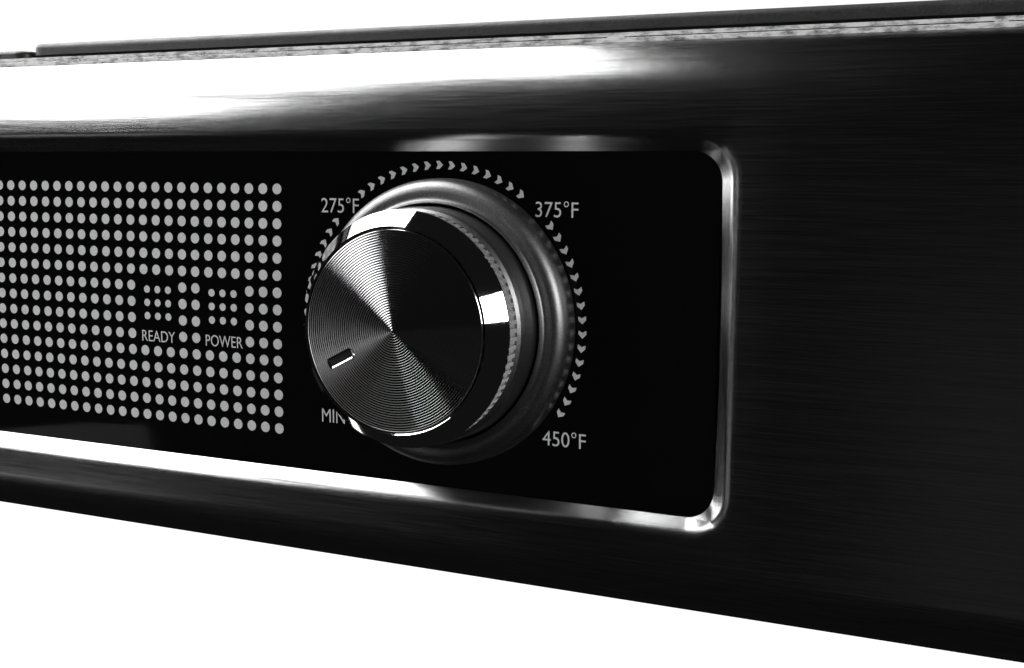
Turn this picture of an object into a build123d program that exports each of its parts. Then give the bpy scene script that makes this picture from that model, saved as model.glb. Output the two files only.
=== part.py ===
from build123d import *
import math
import os

# Electric griddle with two lift-off plates, one thermostat knob and a rear drip tray.
# Millimetres. X runs to the right along the front, Y from the front to the rear, Z up.
# The origin is under the middle of the griddle, on the surface its feet stand on.

# ---- driving dimensions: panel graphics and levels ----
DOT_PITCH = 3.2            # spacing of the printed dots, the control panel's module
FOOT_HEIGHT = 10.0
BELOW_AXIS = 46.8          # from the knob axis down to the underside of the body
ABOVE_AXIS = 47.1          # from the knob axis up to the top of the steel front
FRONT_Y = -150.0           # flat face of the steel front
REAR_Y = 150.0             # outer face of the rear panel
STEEL_HALF = 242.0         # the steel front and rear end here, where the end caps begin
CAP_HALF = 260.0           # outer face of the end caps
HANDLE_HALF = 290.0        # outermost face of the carrying handles
SHEET = 1.2                # sheet metal thickness

AXIS_X = 124.0             # knob axis, right of the middle
BODY_BOTTOM = FOOT_HEIGHT
AXIS_Z = BODY_BOTTOM + BELOW_AXIS
STEEL_TOP = AXIS_Z + ABOVE_AXIS
DECK_THICK = 1.6
SEAL_THICK = 1.5
RIM_THICK = 2.4
DECK_TOP = STEEL_TOP + DECK_THICK
SEAL_TOP = DECK_TOP + SEAL_THICK
RIM_TOP = SEAL_TOP + RIM_THICK

# ---- front shell ----
TOP_SHOULDER = 20.0        # radius of the rolled upper shoulder
BOTTOM_SHOULDER = 9.0
SHOULDER_START = AXIS_Z + 33.0
FLANGE_DEPTH = 12.0

# ---- control panel ----
FASCIA_HALF_X = AXIS_X + 49.3
FASCIA_HALF_Z = 29.6
FASCIA_CORNER = 4.7
BEVEL_WIDTH = 2.9          # sloping border stamped round the control panel
BEVEL_DEPTH = 1.9
BEVEL_ROUND = 2.5          # soft outer edge of that border
POCKET_DEPTH = 3.0
FASCIA_CROWN = 1000.0      # radius of the gently bowed face
FASCIA_FACE_Y = FRONT_Y + 1.4
FASCIA_BACK_Y = FRONT_Y + POCKET_DEPTH
SHAFT_HOLE = 5.2
LAMP_COLUMN_POWER = AXIS_X - 48.4
LAMP_COLUMN_READY = LAMP_COLUMN_POWER - 5 * DOT_PITCH
LAMP_PITCH = 2.62

# ---- knob, as heights in front of the panel face ----
FACE_RADIUS = 16.6
FACE_HEIGHT = 17.6
FACE_THICK = 1.2
BEVEL_OUTER = 19.7
BEVEL_HEIGHT = 14.5
KNURL_TOP = 14.2
KNURL_BOTTOM = 11.0
KNURL_RADIUS = 19.3
KNURL_TEETH = 88
SKIRT_RADIUS = 20.05
SKIRT_BOTTOM = 2.6
BEZEL_BORE = 20.6
BEZEL_LIP = 5.5
BEZEL_CREST = 4.2
BEZEL_SHOULDER = 2.9       # from the crest out to the rim
BEZEL_OUTER = 24.9
SHAFT_RADIUS = 3.0
RUNNING_GAP = 0.05
POINTER_ANGLE = 207.0      # the pointer rests at the lowest setting
POINTER_RADIUS = 11.3

# ---- cooking plates ----
PLATE_INNER_X = 14.0
PLATE_OUTER_X = 245.0
PLATE_FRONT_Y = -136.0
PLATE_REAR_Y = 124.0
PLATE_CORNER = 4.0
WELL_CORNER = 5.0
RIM_OVERHANG = 7.0
WELL_DEPTH = 9.0           # rim top down to the cooking surface
PLATE_FLOOR = 4.5
PLATE_WALL = 4.0
OPENING_GAP = 1.0
DRAIN_X = 52.0
DRAIN_Y = 99.0
DRAIN_RADIUS = 6.0
SPOUT_RADIUS = 8.0
SPOUT_BOTTOM = 84.0

# ---- heating ----
ELEMENT_RADIUS = 3.3
COOK_Z = RIM_TOP - WELL_DEPTH
PLATE_UNDER = COOK_Z - PLATE_FLOOR
ELEMENT_Z = PLATE_UNDER - 1.0 - ELEMENT_RADIUS
REFLECTOR_TOP = 79.0
REFLECTOR_THICK = 0.8

# ---- drip tray ----
TRAY_HALF_X = 74.0
TRAY_FRONT_Y = 52.0
TRAY_BOTTOM = 24.0
TRAY_TOP = 50.0
TRAY_WALL = 2.0
PULL_REAR_Y = -(FASCIA_FACE_Y - FACE_HEIGHT)

CAP_THICK = CAP_HALF - STEEL_HALF
PLATE_MID_X = (PLATE_INNER_X + PLATE_OUTER_X) / 2
PLATE_MID_Y = (PLATE_FRONT_Y + PLATE_REAR_Y) / 2
PLATE_SIZE_X = PLATE_OUTER_X - PLATE_INNER_X
PLATE_SIZE_Y = PLATE_REAR_Y - PLATE_FRONT_Y
SIDES = {"left": -1, "right": 1}
# ---- housing details ----
REAR_CORNER = 5.0
BASE_DEPTH = 274.0
CAP_ROUND = 7.0
CAP_CORNERS = (11.0, 18.0, 8.0, 8.0)
CAP_WALL = 3.0
CAP_INSET = 40.0
CAP_HOLLOW_HEIGHT = 66.0
HANDLE_LENGTH = 150.0
HANDLE_Z = AXIS_Z - 10
HANDLE_HEIGHT = 20.0
HANDLE_POST = 14.0
HANDLE_CORNER = 14.0
HANDLE_ROUND = 4.0
FINGER_GAP = 19.0
DECK_HALF = 252.0
DECK_REAR_Y = 140.0
DECK_CORNER = 14.0
BRIDGE_GAP = 0.8
BRIDGE_CORNER = 3.0
BRIDGE_THICK = 2.6
BRIDGE_ROUND = 0.8
FOOT_X = 214.0
FOOT_Y = 86.0
FOOT_RADIUS = 13.0
FOOT_TAPER = 8.0
FOOT_RECESS = 6.5
FOOT_SCREW = 2.0
SCREW_HEAD = 2.2
REAR_SCREW_X = 228.0
REAR_SCREW_RISE = 70.0
VENT_PITCH = 10.0
VENT_LENGTH = 18.0
VENT_WIDTH = 3.0
VENT_COLUMNS = 9
VENT_ROWS = 1
VENT_Z = 78.0

# ---- plate, seal and heating details ----
RIM_ROUND = 1.1
WELL_FLARE = 3.0
WELL_CORNER_EXTRA = 6.0
GUTTER_X = 196.0
GUTTER_Y = 226.0
GUTTER_CORNER = 10.0
GUTTER_WIDTH = 7.0
GUTTER_DEPTH = 1.5
SEAL_INSET = 2.5
SEAL_CORNER = 4.0
SEAL_WIDTH = 3.0
ELEMENT_LANES = (212.0, 156.0, 103.0, 52.0)
ELEMENT_FRONT_Y = -100.0
ELEMENT_REAR_Y = 92.0
ELEMENT_BACK_TURN = 84.0
ELEMENT_END_Y = 60.0
ELEMENT_TAIL_Z = 70.0
ELEMENT_BEND = 20.0
TAIL_BEND = 8.0
TERMINAL_RADIUS = 6.0
TAB_WIDTH = 6.3
TAB_THICK = 0.8
TAB_LENGTH = 12.0
CLIP_ROWS = (-60.0, 20.0)
CLIP_WIDTH = 10.0
CLIP_LENGTH = 8.0
REFLECTOR_X = 212.0
REFLECTOR_Y = 236.0
REFLECTOR_MID_Y = -6.0
POST_MID_Y = -60.0
POST_SPACING_X = 180.0
POST_SPACING_Y = 80.0
POST_RADIUS = 4.0
DRAIN_CLEARANCE = 2.0      # all round a spout, in the reflector and the chute
CHUTE_WALL = 2.0
CHUTE_GAP = 3.0            # from the tray's rim up to a chute

# ---- tray face ----
TRAY_FACE_HALF = 82.0
TRAY_FACE_GAP = 0.8
TRAY_FACE_LOW = 20.0
TRAY_FACE_HIGH = 56.0
TRAY_FACE_THICK = 2.5
TRAY_TAB_HEIGHT = 8.0
LIP_THICK = 3.0
LIP_FALL = 2.5             # the lip slopes down by this towards its outer edge
LIP_DROP = 10.0
LIP_END = 24.0             # flat stretch beside the lip at each end
RAIL_THICK = 1.2
RAIL_WIDTH = 8.0

# ---- control details ----
FASCIA_GAP = 0.15
GUIDE_LENGTH = 6.0
LAMP_LENGTH = 5.0
LAMP_RADIUS = 2.5
GUIDE_PIN_RADIUS = 0.72
GUIDE_FLANGE = 9.0
GUIDE_FLANGE_THICK = 1.5
LAMP_FRONT_Y = FASCIA_BACK_Y + GUIDE_LENGTH + GUIDE_FLANGE_THICK
BOARD_Y = LAMP_FRONT_Y + LAMP_LENGTH
BOARD_WIDTH = 46.0
BOARD_HEIGHT = 24.0
BOARD_THICK = 1.6
POINTER_LENGTH = 5.3
POINTER_WIDTH = 1.9
GROOVE_WIDTH = 0.3
KNURL_CUT = 0.7
HUB_BOTTOM = 3.4
HUB_RADIUS = 6.5
SHAFT_TIP = 13.0
SHAFT_DEPTH = 8.0
BEZEL_SEAT = 0.05
THERMOSTAT_FRONT = 3.0
THERMOSTAT_WIDTH = 44.0
THERMOSTAT_HEIGHT = 36.0
THERMOSTAT_DEPTH = 22.0
BUSH_RADIUS = 4.8
BUSH_REACH = 2.4
NUT_RADIUS = 8.0
NUT_THICK = 2.0
SENSOR_Y = -40.0
SENSOR_RADIUS = 2.4
SENSOR_LENGTH = 45.0
CAPILLARY_RADIUS = 0.9
THERMOSTAT_BACK_Y = FASCIA_FACE_Y + THERMOSTAT_FRONT + THERMOSTAT_DEPTH
CAPILLARY_Y = THERMOSTAT_BACK_Y + 12.0

# ---- electrics ----
INLET_X = 172.0
INLET_Z = 42.0
INLET_WIDTH = 28.0
INLET_HEIGHT = 21.0
INLET_FLANGE = 2.0
INLET_DEPTH = 20.0
INLET_CAVITY = 16.0
PIN_LENGTH = 9.0
BLOCK_PLACE = (150.0, 40.0)
BLOCK_PITCH = 12.0
BLOCK_DEPTH = 18.0
BLOCK_HEIGHT = 14.0
BLOCK_HOLE = 2.5
BLOCK_HOLE_DEPTH = 6.0
FUSE_PLACE = (180.0, -20.0)
FUSE_RADIUS = 8.0
FUSE_HEIGHT = 9.0
FUSE_STRAP = 24.0
WIRE_RADIUS = 1.4


def save(builder, name):
    """Label a finished piece and write it as its own file."""
    builder.part.label = name
    export_step(builder.part, f"parts/{name}.step")


def knob_plane(height=0.0):
    """A plane facing forward on the knob's axis, the given height in front of the panel's face."""
    return Plane(
        origin=(AXIS_X, FASCIA_FACE_Y - height, AXIS_Z), x_dir=(1, 0, 0), z_dir=(0, -1, 0)
    )


# A plane through the knob axis: local x is the radius and local y the height in front of the panel.
KNOB_SECTION = Plane(origin=(AXIS_X, FASCIA_FACE_Y, AXIS_Z), x_dir=(1, 0, 0), z_dir=(0, 0, 1))
KNOB_SECTION_Y = -1        # local y of that plane points to the rear, so heights are negative in it
KNOB_AXIS = Axis((AXIS_X, FASCIA_FACE_Y, AXIS_Z), (0, 1, 0))


def knob_profile(points):
    """Turn (radius, height) pairs into points of the knob's section plane."""
    return [(radius, KNOB_SECTION_Y * height) for radius, height in points]


# ---- body section, in the plane of Y and Z ----
SHOULDER_STEP = 1.0        # small fold between the rolled shoulder and the top flange
SHOULDER_RISE = STEEL_TOP - SHOULDER_STEP - SHOULDER_START
SHOULDER_ANGLE = math.asin(SHOULDER_RISE / TOP_SHOULDER)


def shell_outline(inset, back_y):
    """Closed section behind the front surface, from the underside up to the deck."""
    face_y = FRONT_Y + inset
    low_z = BODY_BOTTOM + inset
    top_z = STEEL_TOP - inset
    low_radius = BOTTOM_SHOULDER - inset
    top_radius = TOP_SHOULDER - inset
    fold_y = FRONT_Y + TOP_SHOULDER - top_radius * math.cos(SHOULDER_ANGLE)
    fold_z = SHOULDER_START + top_radius * math.sin(SHOULDER_ANGLE)
    with BuildLine() as outline:
        Line((back_y, low_z), (face_y + low_radius, low_z))
        RadiusArc((face_y + low_radius, low_z), (face_y, low_z + low_radius), low_radius)
        Line((face_y, low_z + low_radius), (face_y, SHOULDER_START))
        RadiusArc((face_y, SHOULDER_START), (fold_y, fold_z), top_radius)
        Line((fold_y, fold_z), (fold_y + SHOULDER_STEP, top_z))
        Line((fold_y + SHOULDER_STEP, top_z), (back_y, top_z))
        Line((back_y, top_z), (back_y, low_z))
    return outline.edges()


FOLD_Y = FRONT_Y + TOP_SHOULDER * (1 - math.cos(SHOULDER_ANGLE)) + SHOULDER_STEP


# ==== housing ====
def make_front_panel():
    """Stainless front: rolled shoulders, and a pocket with a sloping border for the controls."""
    flange_y = FOLD_Y + FLANGE_DEPTH
    with BuildPart() as front_panel:
        with BuildSketch(Plane.YZ.offset(-STEEL_HALF)):
            make_face(shell_outline(0, flange_y))
        extrude(amount=2 * STEEL_HALF)
        with BuildSketch(Plane.YZ.offset(-STEEL_HALF)):
            make_face(shell_outline(SHEET, flange_y + 1))
        extrude(amount=2 * STEEL_HALF, mode=Mode.SUBTRACT)
        # the stamped pocket stands behind the sheet
        pocket = Plane(origin=(0, FRONT_Y, AXIS_Z), x_dir=(1, 0, 0), z_dir=(0, -1, 0))
        outer_x = 2 * (FASCIA_HALF_X + BEVEL_WIDTH)
        outer_z = 2 * (FASCIA_HALF_Z + BEVEL_WIDTH)
        with BuildSketch(pocket.offset(-POCKET_DEPTH - SHEET)):
            RectangleRounded(outer_x, outer_z, FASCIA_CORNER + BEVEL_WIDTH)
        extrude(amount=POCKET_DEPTH + SHEET)
        with BuildSketch(pocket):
            RectangleRounded(outer_x, outer_z, FASCIA_CORNER + BEVEL_WIDTH)
        slope = math.degrees(math.atan(BEVEL_WIDTH / BEVEL_DEPTH))
        extrude(amount=-BEVEL_DEPTH, taper=slope, mode=Mode.SUBTRACT)
        border = front_panel.faces().sort_by(Axis.Y)[0].inner_wires()
        fillet(border[0].edges(), BEVEL_ROUND)
        with BuildSketch(pocket.offset(-BEVEL_DEPTH)):
            RectangleRounded(2 * FASCIA_HALF_X, 2 * FASCIA_HALF_Z, FASCIA_CORNER)
        extrude(amount=BEVEL_DEPTH - POCKET_DEPTH, mode=Mode.SUBTRACT)
        with BuildSketch(pocket):
            with Locations((AXIS_X, 0)):
                Circle(SHAFT_HOLE)
            with Locations((LAMP_COLUMN_READY, 0), (LAMP_COLUMN_POWER, 0)):
                RectangleRounded(10, 10, 1)
        extrude(amount=-POCKET_DEPTH - SHEET, mode=Mode.SUBTRACT)
    save(front_panel, "front_panel")


def make_rear_panel():
    """Black rear sheet with the tray slot, the inlet cut-out and rows of vents."""
    flange_y = REAR_Y - FLANGE_DEPTH
    with BuildPart() as rear_panel:
        with BuildSketch(Plane.YZ.offset(-STEEL_HALF)):
            with BuildLine():
                FilletPolyline(
                    (flange_y, BODY_BOTTOM),
                    (REAR_Y, BODY_BOTTOM),
                    (REAR_Y, STEEL_TOP),
                    (flange_y, STEEL_TOP),
                    radius=REAR_CORNER,
                )
                Line((flange_y, STEEL_TOP), (flange_y, BODY_BOTTOM))
            make_face()
        extrude(amount=2 * STEEL_HALF)
        with BuildSketch(Plane.YZ.offset(-STEEL_HALF)):
            with BuildLine():
                FilletPolyline(
                    (flange_y - 1, BODY_BOTTOM + SHEET),
                    (REAR_Y - SHEET, BODY_BOTTOM + SHEET),
                    (REAR_Y - SHEET, STEEL_TOP - SHEET),
                    (flange_y - 1, STEEL_TOP - SHEET),
                    radius=REAR_CORNER - SHEET,
                )
                Line((flange_y - 1, STEEL_TOP - SHEET), (flange_y - 1, BODY_BOTTOM + SHEET))
            make_face()
        extrude(amount=2 * STEEL_HALF, mode=Mode.SUBTRACT)
        with BuildSketch(Plane.XZ.offset(-REAR_Y)):
            with Locations((0, (TRAY_BOTTOM + TRAY_TOP) / 2)):
                Rectangle(2 * (TRAY_HALF_X + 1), TRAY_TOP - TRAY_BOTTOM + 2)
            with Locations((INLET_X, INLET_Z)):
                Rectangle(INLET_WIDTH, INLET_HEIGHT)
            with Locations((-INLET_X, VENT_Z), (INLET_X, VENT_Z)):
                with GridLocations(VENT_PITCH, VENT_PITCH, VENT_COLUMNS, VENT_ROWS):
                    SlotOverall(VENT_LENGTH, VENT_WIDTH, rotation=90)
        extrude(amount=2 * SHEET, mode=Mode.SUBTRACT)
    save(rear_panel, "rear_panel")


def make_base_plate():
    """Bottom sheet resting on the front and rear flanges, with vents and foot holes."""
    with BuildPart() as base_plate:
        with BuildSketch(Plane.XY.offset(BODY_BOTTOM + SHEET)):
            Rectangle(2 * STEEL_HALF, BASE_DEPTH)
            with GridLocations(2 * FOOT_X, 2 * FOOT_Y, 2, 2):
                Circle(FOOT_SCREW, mode=Mode.SUBTRACT)
            with Locations((PLATE_MID_X, -20), (-PLATE_MID_X, -20)):
                with GridLocations(VENT_PITCH * 1.5, VENT_LENGTH * 1.6, VENT_COLUMNS, 3):
                    SlotOverall(VENT_LENGTH, VENT_WIDTH, rotation=90, mode=Mode.SUBTRACT)
        extrude(amount=SHEET)
    save(base_plate, "base_plate")


def make_end_cap(name, side):
    """Hollow moulded end of the body, rounded on its outer edges."""
    near_x = STEEL_HALF if side > 0 else -CAP_HALF
    with BuildPart() as end_cap:
        with BuildSketch(Plane.YZ.offset(near_x)):
            with BuildLine():
                FilletPolyline(
                    (FRONT_Y, BODY_BOTTOM),
                    (FRONT_Y, STEEL_TOP),
                    (REAR_Y, STEEL_TOP),
                    (REAR_Y, BODY_BOTTOM),
                    radius=CAP_CORNERS,
                    close=True,
                )
            make_face()
        extrude(amount=CAP_THICK)
        outer_face = end_cap.faces().filter_by(Axis.X).sort_by(Axis.X)[-1 if side > 0 else 0]
        fillet(outer_face.edges(), CAP_ROUND)
        hollow_x = STEEL_HALF if side > 0 else -STEEL_HALF - CAP_THICK + CAP_WALL
        with BuildSketch(Plane.YZ.offset(hollow_x)):
            with Locations((0, (BODY_BOTTOM + STEEL_TOP) / 2)):
                RectangleRounded(REAR_Y - FRONT_Y - CAP_INSET, CAP_HOLLOW_HEIGHT, CAP_ROUND)
        extrude(amount=CAP_THICK - CAP_WALL, mode=Mode.SUBTRACT)
    save(end_cap, name)


def make_handle(name, side):
    """Carrying handle: a loop standing out from the end cap, wide enough for four fingers."""
    with BuildPart() as handle:
        with BuildSketch(Plane.XY.offset(HANDLE_Z)):
            with Locations((side * (CAP_HALF + HANDLE_HALF) / 2, 0)):
                Rectangle(HANDLE_HALF - CAP_HALF, HANDLE_LENGTH)
        extrude(amount=HANDLE_HEIGHT)
        tall_edges = handle.edges().filter_by(Axis.Z).sort_by(Axis.X)
        outer_edges = tall_edges[-2:] if side > 0 else tall_edges[:2]
        fillet(outer_edges, HANDLE_CORNER)
        with BuildSketch(Plane.XY.offset(HANDLE_Z)):
            with Locations((side * (CAP_HALF + FINGER_GAP / 2 - 1), 0)):
                RectangleRounded(FINGER_GAP + 2, HANDLE_LENGTH - 2 * HANDLE_POST, 2)
        extrude(amount=HANDLE_HEIGHT, mode=Mode.SUBTRACT)
        rim = outer_rim(handle, side)
        fillet(rim, HANDLE_ROUND)
    save(handle, name)


def outer_rim(handle, side):
    """Long edges of a handle's outer bar, above and below."""
    flat = handle.faces().filter_by(Axis.Z).edges()
    return [edge for edge in flat if side * edge.center().X > HANDLE_HALF - HANDLE_CORNER]


def make_top_frame():
    """Steel deck round the two plate openings."""
    with BuildPart() as top_frame:
        with BuildSketch(Plane.XY.offset(STEEL_TOP)):
            with Locations((0, (FOLD_Y + DECK_REAR_Y) / 2)):
                RectangleRounded(2 * DECK_HALF, DECK_REAR_Y - FOLD_Y, DECK_CORNER)
            with Locations((-PLATE_MID_X, PLATE_MID_Y), (PLATE_MID_X, PLATE_MID_Y)):
                RectangleRounded(
                    PLATE_SIZE_X - 2 * (RIM_OVERHANG - OPENING_GAP),
                    PLATE_SIZE_Y - 2 * (RIM_OVERHANG - OPENING_GAP),
                    WELL_CORNER + OPENING_GAP,
                    mode=Mode.SUBTRACT,
                )
        extrude(amount=DECK_THICK)
    save(top_frame, "top_frame")


def make_centre_bridge():
    """Black strip that fills the gap between the two plates."""
    with BuildPart() as centre_bridge:
        with BuildSketch(Plane.XY.offset(DECK_TOP)):
            with Locations((0, PLATE_MID_Y)):
                RectangleRounded(2 * (PLATE_INNER_X - BRIDGE_GAP), PLATE_SIZE_Y, BRIDGE_CORNER)
        extrude(amount=BRIDGE_THICK)
        fillet(centre_bridge.faces().sort_by(Axis.Z)[-1].edges(), BRIDGE_ROUND)
    save(centre_bridge, "centre_bridge")


def make_feet():
    """Four rubber feet, wider at the floor."""
    corners = {
        "front_left": (-FOOT_X, -FOOT_Y),
        "front_right": (FOOT_X, -FOOT_Y),
        "rear_left": (-FOOT_X, FOOT_Y),
        "rear_right": (FOOT_X, FOOT_Y),
    }
    for corner, place in corners.items():
        with BuildPart() as foot:
            with BuildSketch():
                with Locations(place):
                    Circle(FOOT_RADIUS)
            extrude(amount=BODY_BOTTOM + SHEET, taper=FOOT_TAPER)
            with BuildSketch():
                with Locations(place):
                    Circle(FOOT_RECESS)
            extrude(amount=FOOT_HEIGHT / 2, mode=Mode.SUBTRACT)
            with BuildSketch():
                with Locations(place):
                    Circle(FOOT_SCREW)
            extrude(amount=BODY_BOTTOM + SHEET, mode=Mode.SUBTRACT)
            fillet(foot.edges().group_by(Axis.Z)[0].sort_by(SortBy.RADIUS)[-1], 1)
        save(foot, f"{corner}_foot")


def make_foot_screws():
    """Screws that hold the feet to the base plate."""
    with BuildPart() as foot_screws:
        with BuildSketch(Plane.XY.offset(FOOT_HEIGHT / 2 - SCREW_HEAD)):
            with GridLocations(2 * FOOT_X, 2 * FOOT_Y, 2, 2):
                Circle(FOOT_SCREW + 2)
        extrude(amount=SCREW_HEAD)
        with BuildSketch(Plane.XY.offset(FOOT_HEIGHT / 2)):
            with GridLocations(2 * FOOT_X, 2 * FOOT_Y, 2, 2):
                Circle(FOOT_SCREW)
        extrude(amount=BODY_BOTTOM + 2 * SHEET + 3 - FOOT_HEIGHT / 2)
    save(foot_screws, "foot_screws")


def make_rear_screws():
    """Pan-head screws along the rear panel's edges."""
    with BuildPart() as rear_screws:
        with BuildSketch(Plane.XZ.offset(-REAR_Y)):
            with Locations((0, (BODY_BOTTOM + STEEL_TOP) / 2)):
                with GridLocations(2 * REAR_SCREW_X, REAR_SCREW_RISE, 2, 2):
                    Circle(3.2)
        extrude(amount=-1.6)
        fillet(rear_screws.faces().sort_by(Axis.Y)[-4:].edges(), 1.2)
    save(rear_screws, "rear_screws")


# ==== cooking plates ====
def make_plate(name, side):
    """Cast plate: rim, deep well with a sloping wall, drain hole and spout."""
    centre = (side * PLATE_MID_X, PLATE_MID_Y)
    drain = (side * DRAIN_X, DRAIN_Y)
    well_x = PLATE_SIZE_X - 2 * RIM_OVERHANG
    well_y = PLATE_SIZE_Y - 2 * RIM_OVERHANG
    with BuildPart() as plate:
        with BuildSketch(Plane.XY.offset(SEAL_TOP)):
            with Locations(centre):
                RectangleRounded(PLATE_SIZE_X, PLATE_SIZE_Y, PLATE_CORNER)
        extrude(amount=RIM_THICK)
        fillet(plate.faces().sort_by(Axis.Z)[-1].edges(), RIM_ROUND)
        with BuildSketch(Plane.XY.offset(PLATE_UNDER)):
            with Locations(centre):
                RectangleRounded(well_x, well_y, WELL_CORNER)
        extrude(amount=SEAL_TOP - PLATE_UNDER)
        with BuildSketch(Plane.XY.offset(RIM_TOP)):
            with Locations(centre):
                RectangleRounded(
                    well_x - 2 * PLATE_WALL + WELL_FLARE,
                    well_y - 2 * PLATE_WALL + WELL_FLARE,
                    WELL_CORNER + WELL_CORNER_EXTRA,
                )
        slope = math.degrees(math.atan(WELL_FLARE / WELL_DEPTH))
        extrude(amount=-WELL_DEPTH, taper=slope, mode=Mode.SUBTRACT)
        with BuildSketch(Plane.XY.offset(COOK_Z)):
            with Locations(centre):
                RectangleRounded(GUTTER_X, GUTTER_Y, GUTTER_CORNER)
                RectangleRounded(
                    GUTTER_X - 2 * GUTTER_WIDTH,
                    GUTTER_Y - 2 * GUTTER_WIDTH,
                    GUTTER_CORNER - GUTTER_WIDTH,
                    mode=Mode.SUBTRACT,
                )
        extrude(amount=-GUTTER_DEPTH, mode=Mode.SUBTRACT)
        with BuildSketch(Plane.XY.offset(SPOUT_BOTTOM)):
            with Locations(drain):
                Circle(SPOUT_RADIUS)
        extrude(amount=PLATE_UNDER - SPOUT_BOTTOM)
        with BuildSketch(Plane.XY.offset(COOK_Z)):
            with Locations(drain):
                Circle(DRAIN_RADIUS)
        extrude(amount=SPOUT_BOTTOM - COOK_Z, mode=Mode.SUBTRACT)
    save(plate, name)


def make_plate_seal(name, side):
    """Thin silicone seal between the deck and a plate's rim."""
    with BuildPart() as seal:
        with BuildSketch(Plane.XY.offset(DECK_TOP)):
            with Locations((side * PLATE_MID_X, PLATE_MID_Y)):
                RectangleRounded(
                    PLATE_SIZE_X - 2 * SEAL_INSET,
                    PLATE_SIZE_Y - 2 * SEAL_INSET,
                    SEAL_CORNER,
                )
                RectangleRounded(
                    PLATE_SIZE_X - 2 * (SEAL_INSET + SEAL_WIDTH),
                    PLATE_SIZE_Y - 2 * (SEAL_INSET + SEAL_WIDTH),
                    SEAL_CORNER - SEAL_WIDTH,
                    mode=Mode.SUBTRACT,
                )
        extrude(amount=SEAL_THICK)
    save(seal, name)


# ==== heating ====
def element_route(side):
    """Corner points of a heating tube: up through the reflector, a long serpentine and down."""
    outer_x, wide_x, narrow_x, inner_x = (side * x for x in ELEMENT_LANES)
    return [
        (outer_x, ELEMENT_REAR_Y, ELEMENT_TAIL_Z),
        (outer_x, ELEMENT_REAR_Y, ELEMENT_Z),
        (outer_x, ELEMENT_FRONT_Y, ELEMENT_Z),
        (wide_x, ELEMENT_FRONT_Y, ELEMENT_Z),
        (wide_x, ELEMENT_BACK_TURN, ELEMENT_Z),
        (narrow_x, ELEMENT_BACK_TURN, ELEMENT_Z),
        (narrow_x, ELEMENT_FRONT_Y, ELEMENT_Z),
        (inner_x, ELEMENT_FRONT_Y, ELEMENT_Z),
        (inner_x, ELEMENT_END_Y, ELEMENT_Z),
        (inner_x, ELEMENT_END_Y, ELEMENT_TAIL_Z),
    ]


def make_element(name, side):
    """Sheathed heating tube bent to lie just under a plate."""
    route = element_route(side)
    bends = [TAIL_BEND] + [ELEMENT_BEND] * 6 + [TAIL_BEND]
    with BuildPart() as element:
        with BuildLine() as path:
            FilletPolyline(*route, radius=bends)
        with BuildSketch(Plane(origin=route[0], z_dir=(0, 0, 1))):
            Circle(ELEMENT_RADIUS)
        sweep(path=path.wires()[0])
    print(name, "length", round(path.wires()[0].length), "volume", round(element.part.volume))
    save(element, name)


def tail_places(side):
    """Where a heating tube's two ends pass through the reflector."""
    return [
        (side * ELEMENT_LANES[0], ELEMENT_REAR_Y),
        (side * ELEMENT_LANES[3], ELEMENT_END_Y),
    ]


def make_element_terminals(name, side):
    """Ceramic collars and connector tabs on a heating tube's ends."""
    with BuildPart() as terminals:
        with BuildSketch(Plane.XY.offset(ELEMENT_TAIL_Z)):
            with Locations(*tail_places(side)):
                Circle(TERMINAL_RADIUS)
                Circle(ELEMENT_RADIUS, mode=Mode.SUBTRACT)
        extrude(amount=REFLECTOR_TOP - REFLECTOR_THICK - ELEMENT_TAIL_Z)
        with BuildSketch(Plane.XY.offset(ELEMENT_TAIL_Z)):
            with Locations(*tail_places(side)):
                Rectangle(TAB_WIDTH, TAB_THICK)
        extrude(amount=-TAB_LENGTH)
        with BuildSketch(Plane.XY.offset(ELEMENT_TAIL_Z)):
            with Locations(*tail_places(side)):
                Circle(TERMINAL_RADIUS)
        extrude(amount=-2)
    save(terminals, name)


def make_reflector(name, side):
    """Bright sheet under a heating tube, pierced for the tube's ends and the drain."""
    with BuildPart() as reflector:
        with BuildSketch(Plane.XY.offset(REFLECTOR_TOP)):
            with Locations((side * PLATE_MID_X, REFLECTOR_MID_Y)):
                RectangleRounded(REFLECTOR_X, REFLECTOR_Y, 6)
            with Locations(*tail_places(side)):
                Circle(ELEMENT_RADIUS + 0.5, mode=Mode.SUBTRACT)
            with Locations((side * DRAIN_X, DRAIN_Y)):
                Circle(SPOUT_RADIUS + DRAIN_CLEARANCE, mode=Mode.SUBTRACT)
            if side > 0:
                with Locations((AXIS_X, CAPILLARY_Y)):
                    Circle(3 * CAPILLARY_RADIUS, mode=Mode.SUBTRACT)
        extrude(amount=-REFLECTOR_THICK)
    save(reflector, name)


def make_element_clips(name, side):
    """Saddles that hold a heating tube above its reflector."""
    lanes = [side * x for x in ELEMENT_LANES]
    places = [(x, y) for x in lanes for y in CLIP_ROWS]
    with BuildPart() as clips:
        with BuildSketch(Plane.XY.offset(REFLECTOR_TOP)):
            with Locations(*places):
                Rectangle(CLIP_WIDTH, CLIP_LENGTH)
        extrude(amount=ELEMENT_Z - REFLECTOR_TOP)
        with BuildSketch(Plane.XZ.offset(100)):
            for x in lanes:
                with Locations((x, ELEMENT_Z)):
                    Circle(ELEMENT_RADIUS + 0.05)
        extrude(amount=-200, mode=Mode.SUBTRACT)
    save(clips, name)


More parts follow.
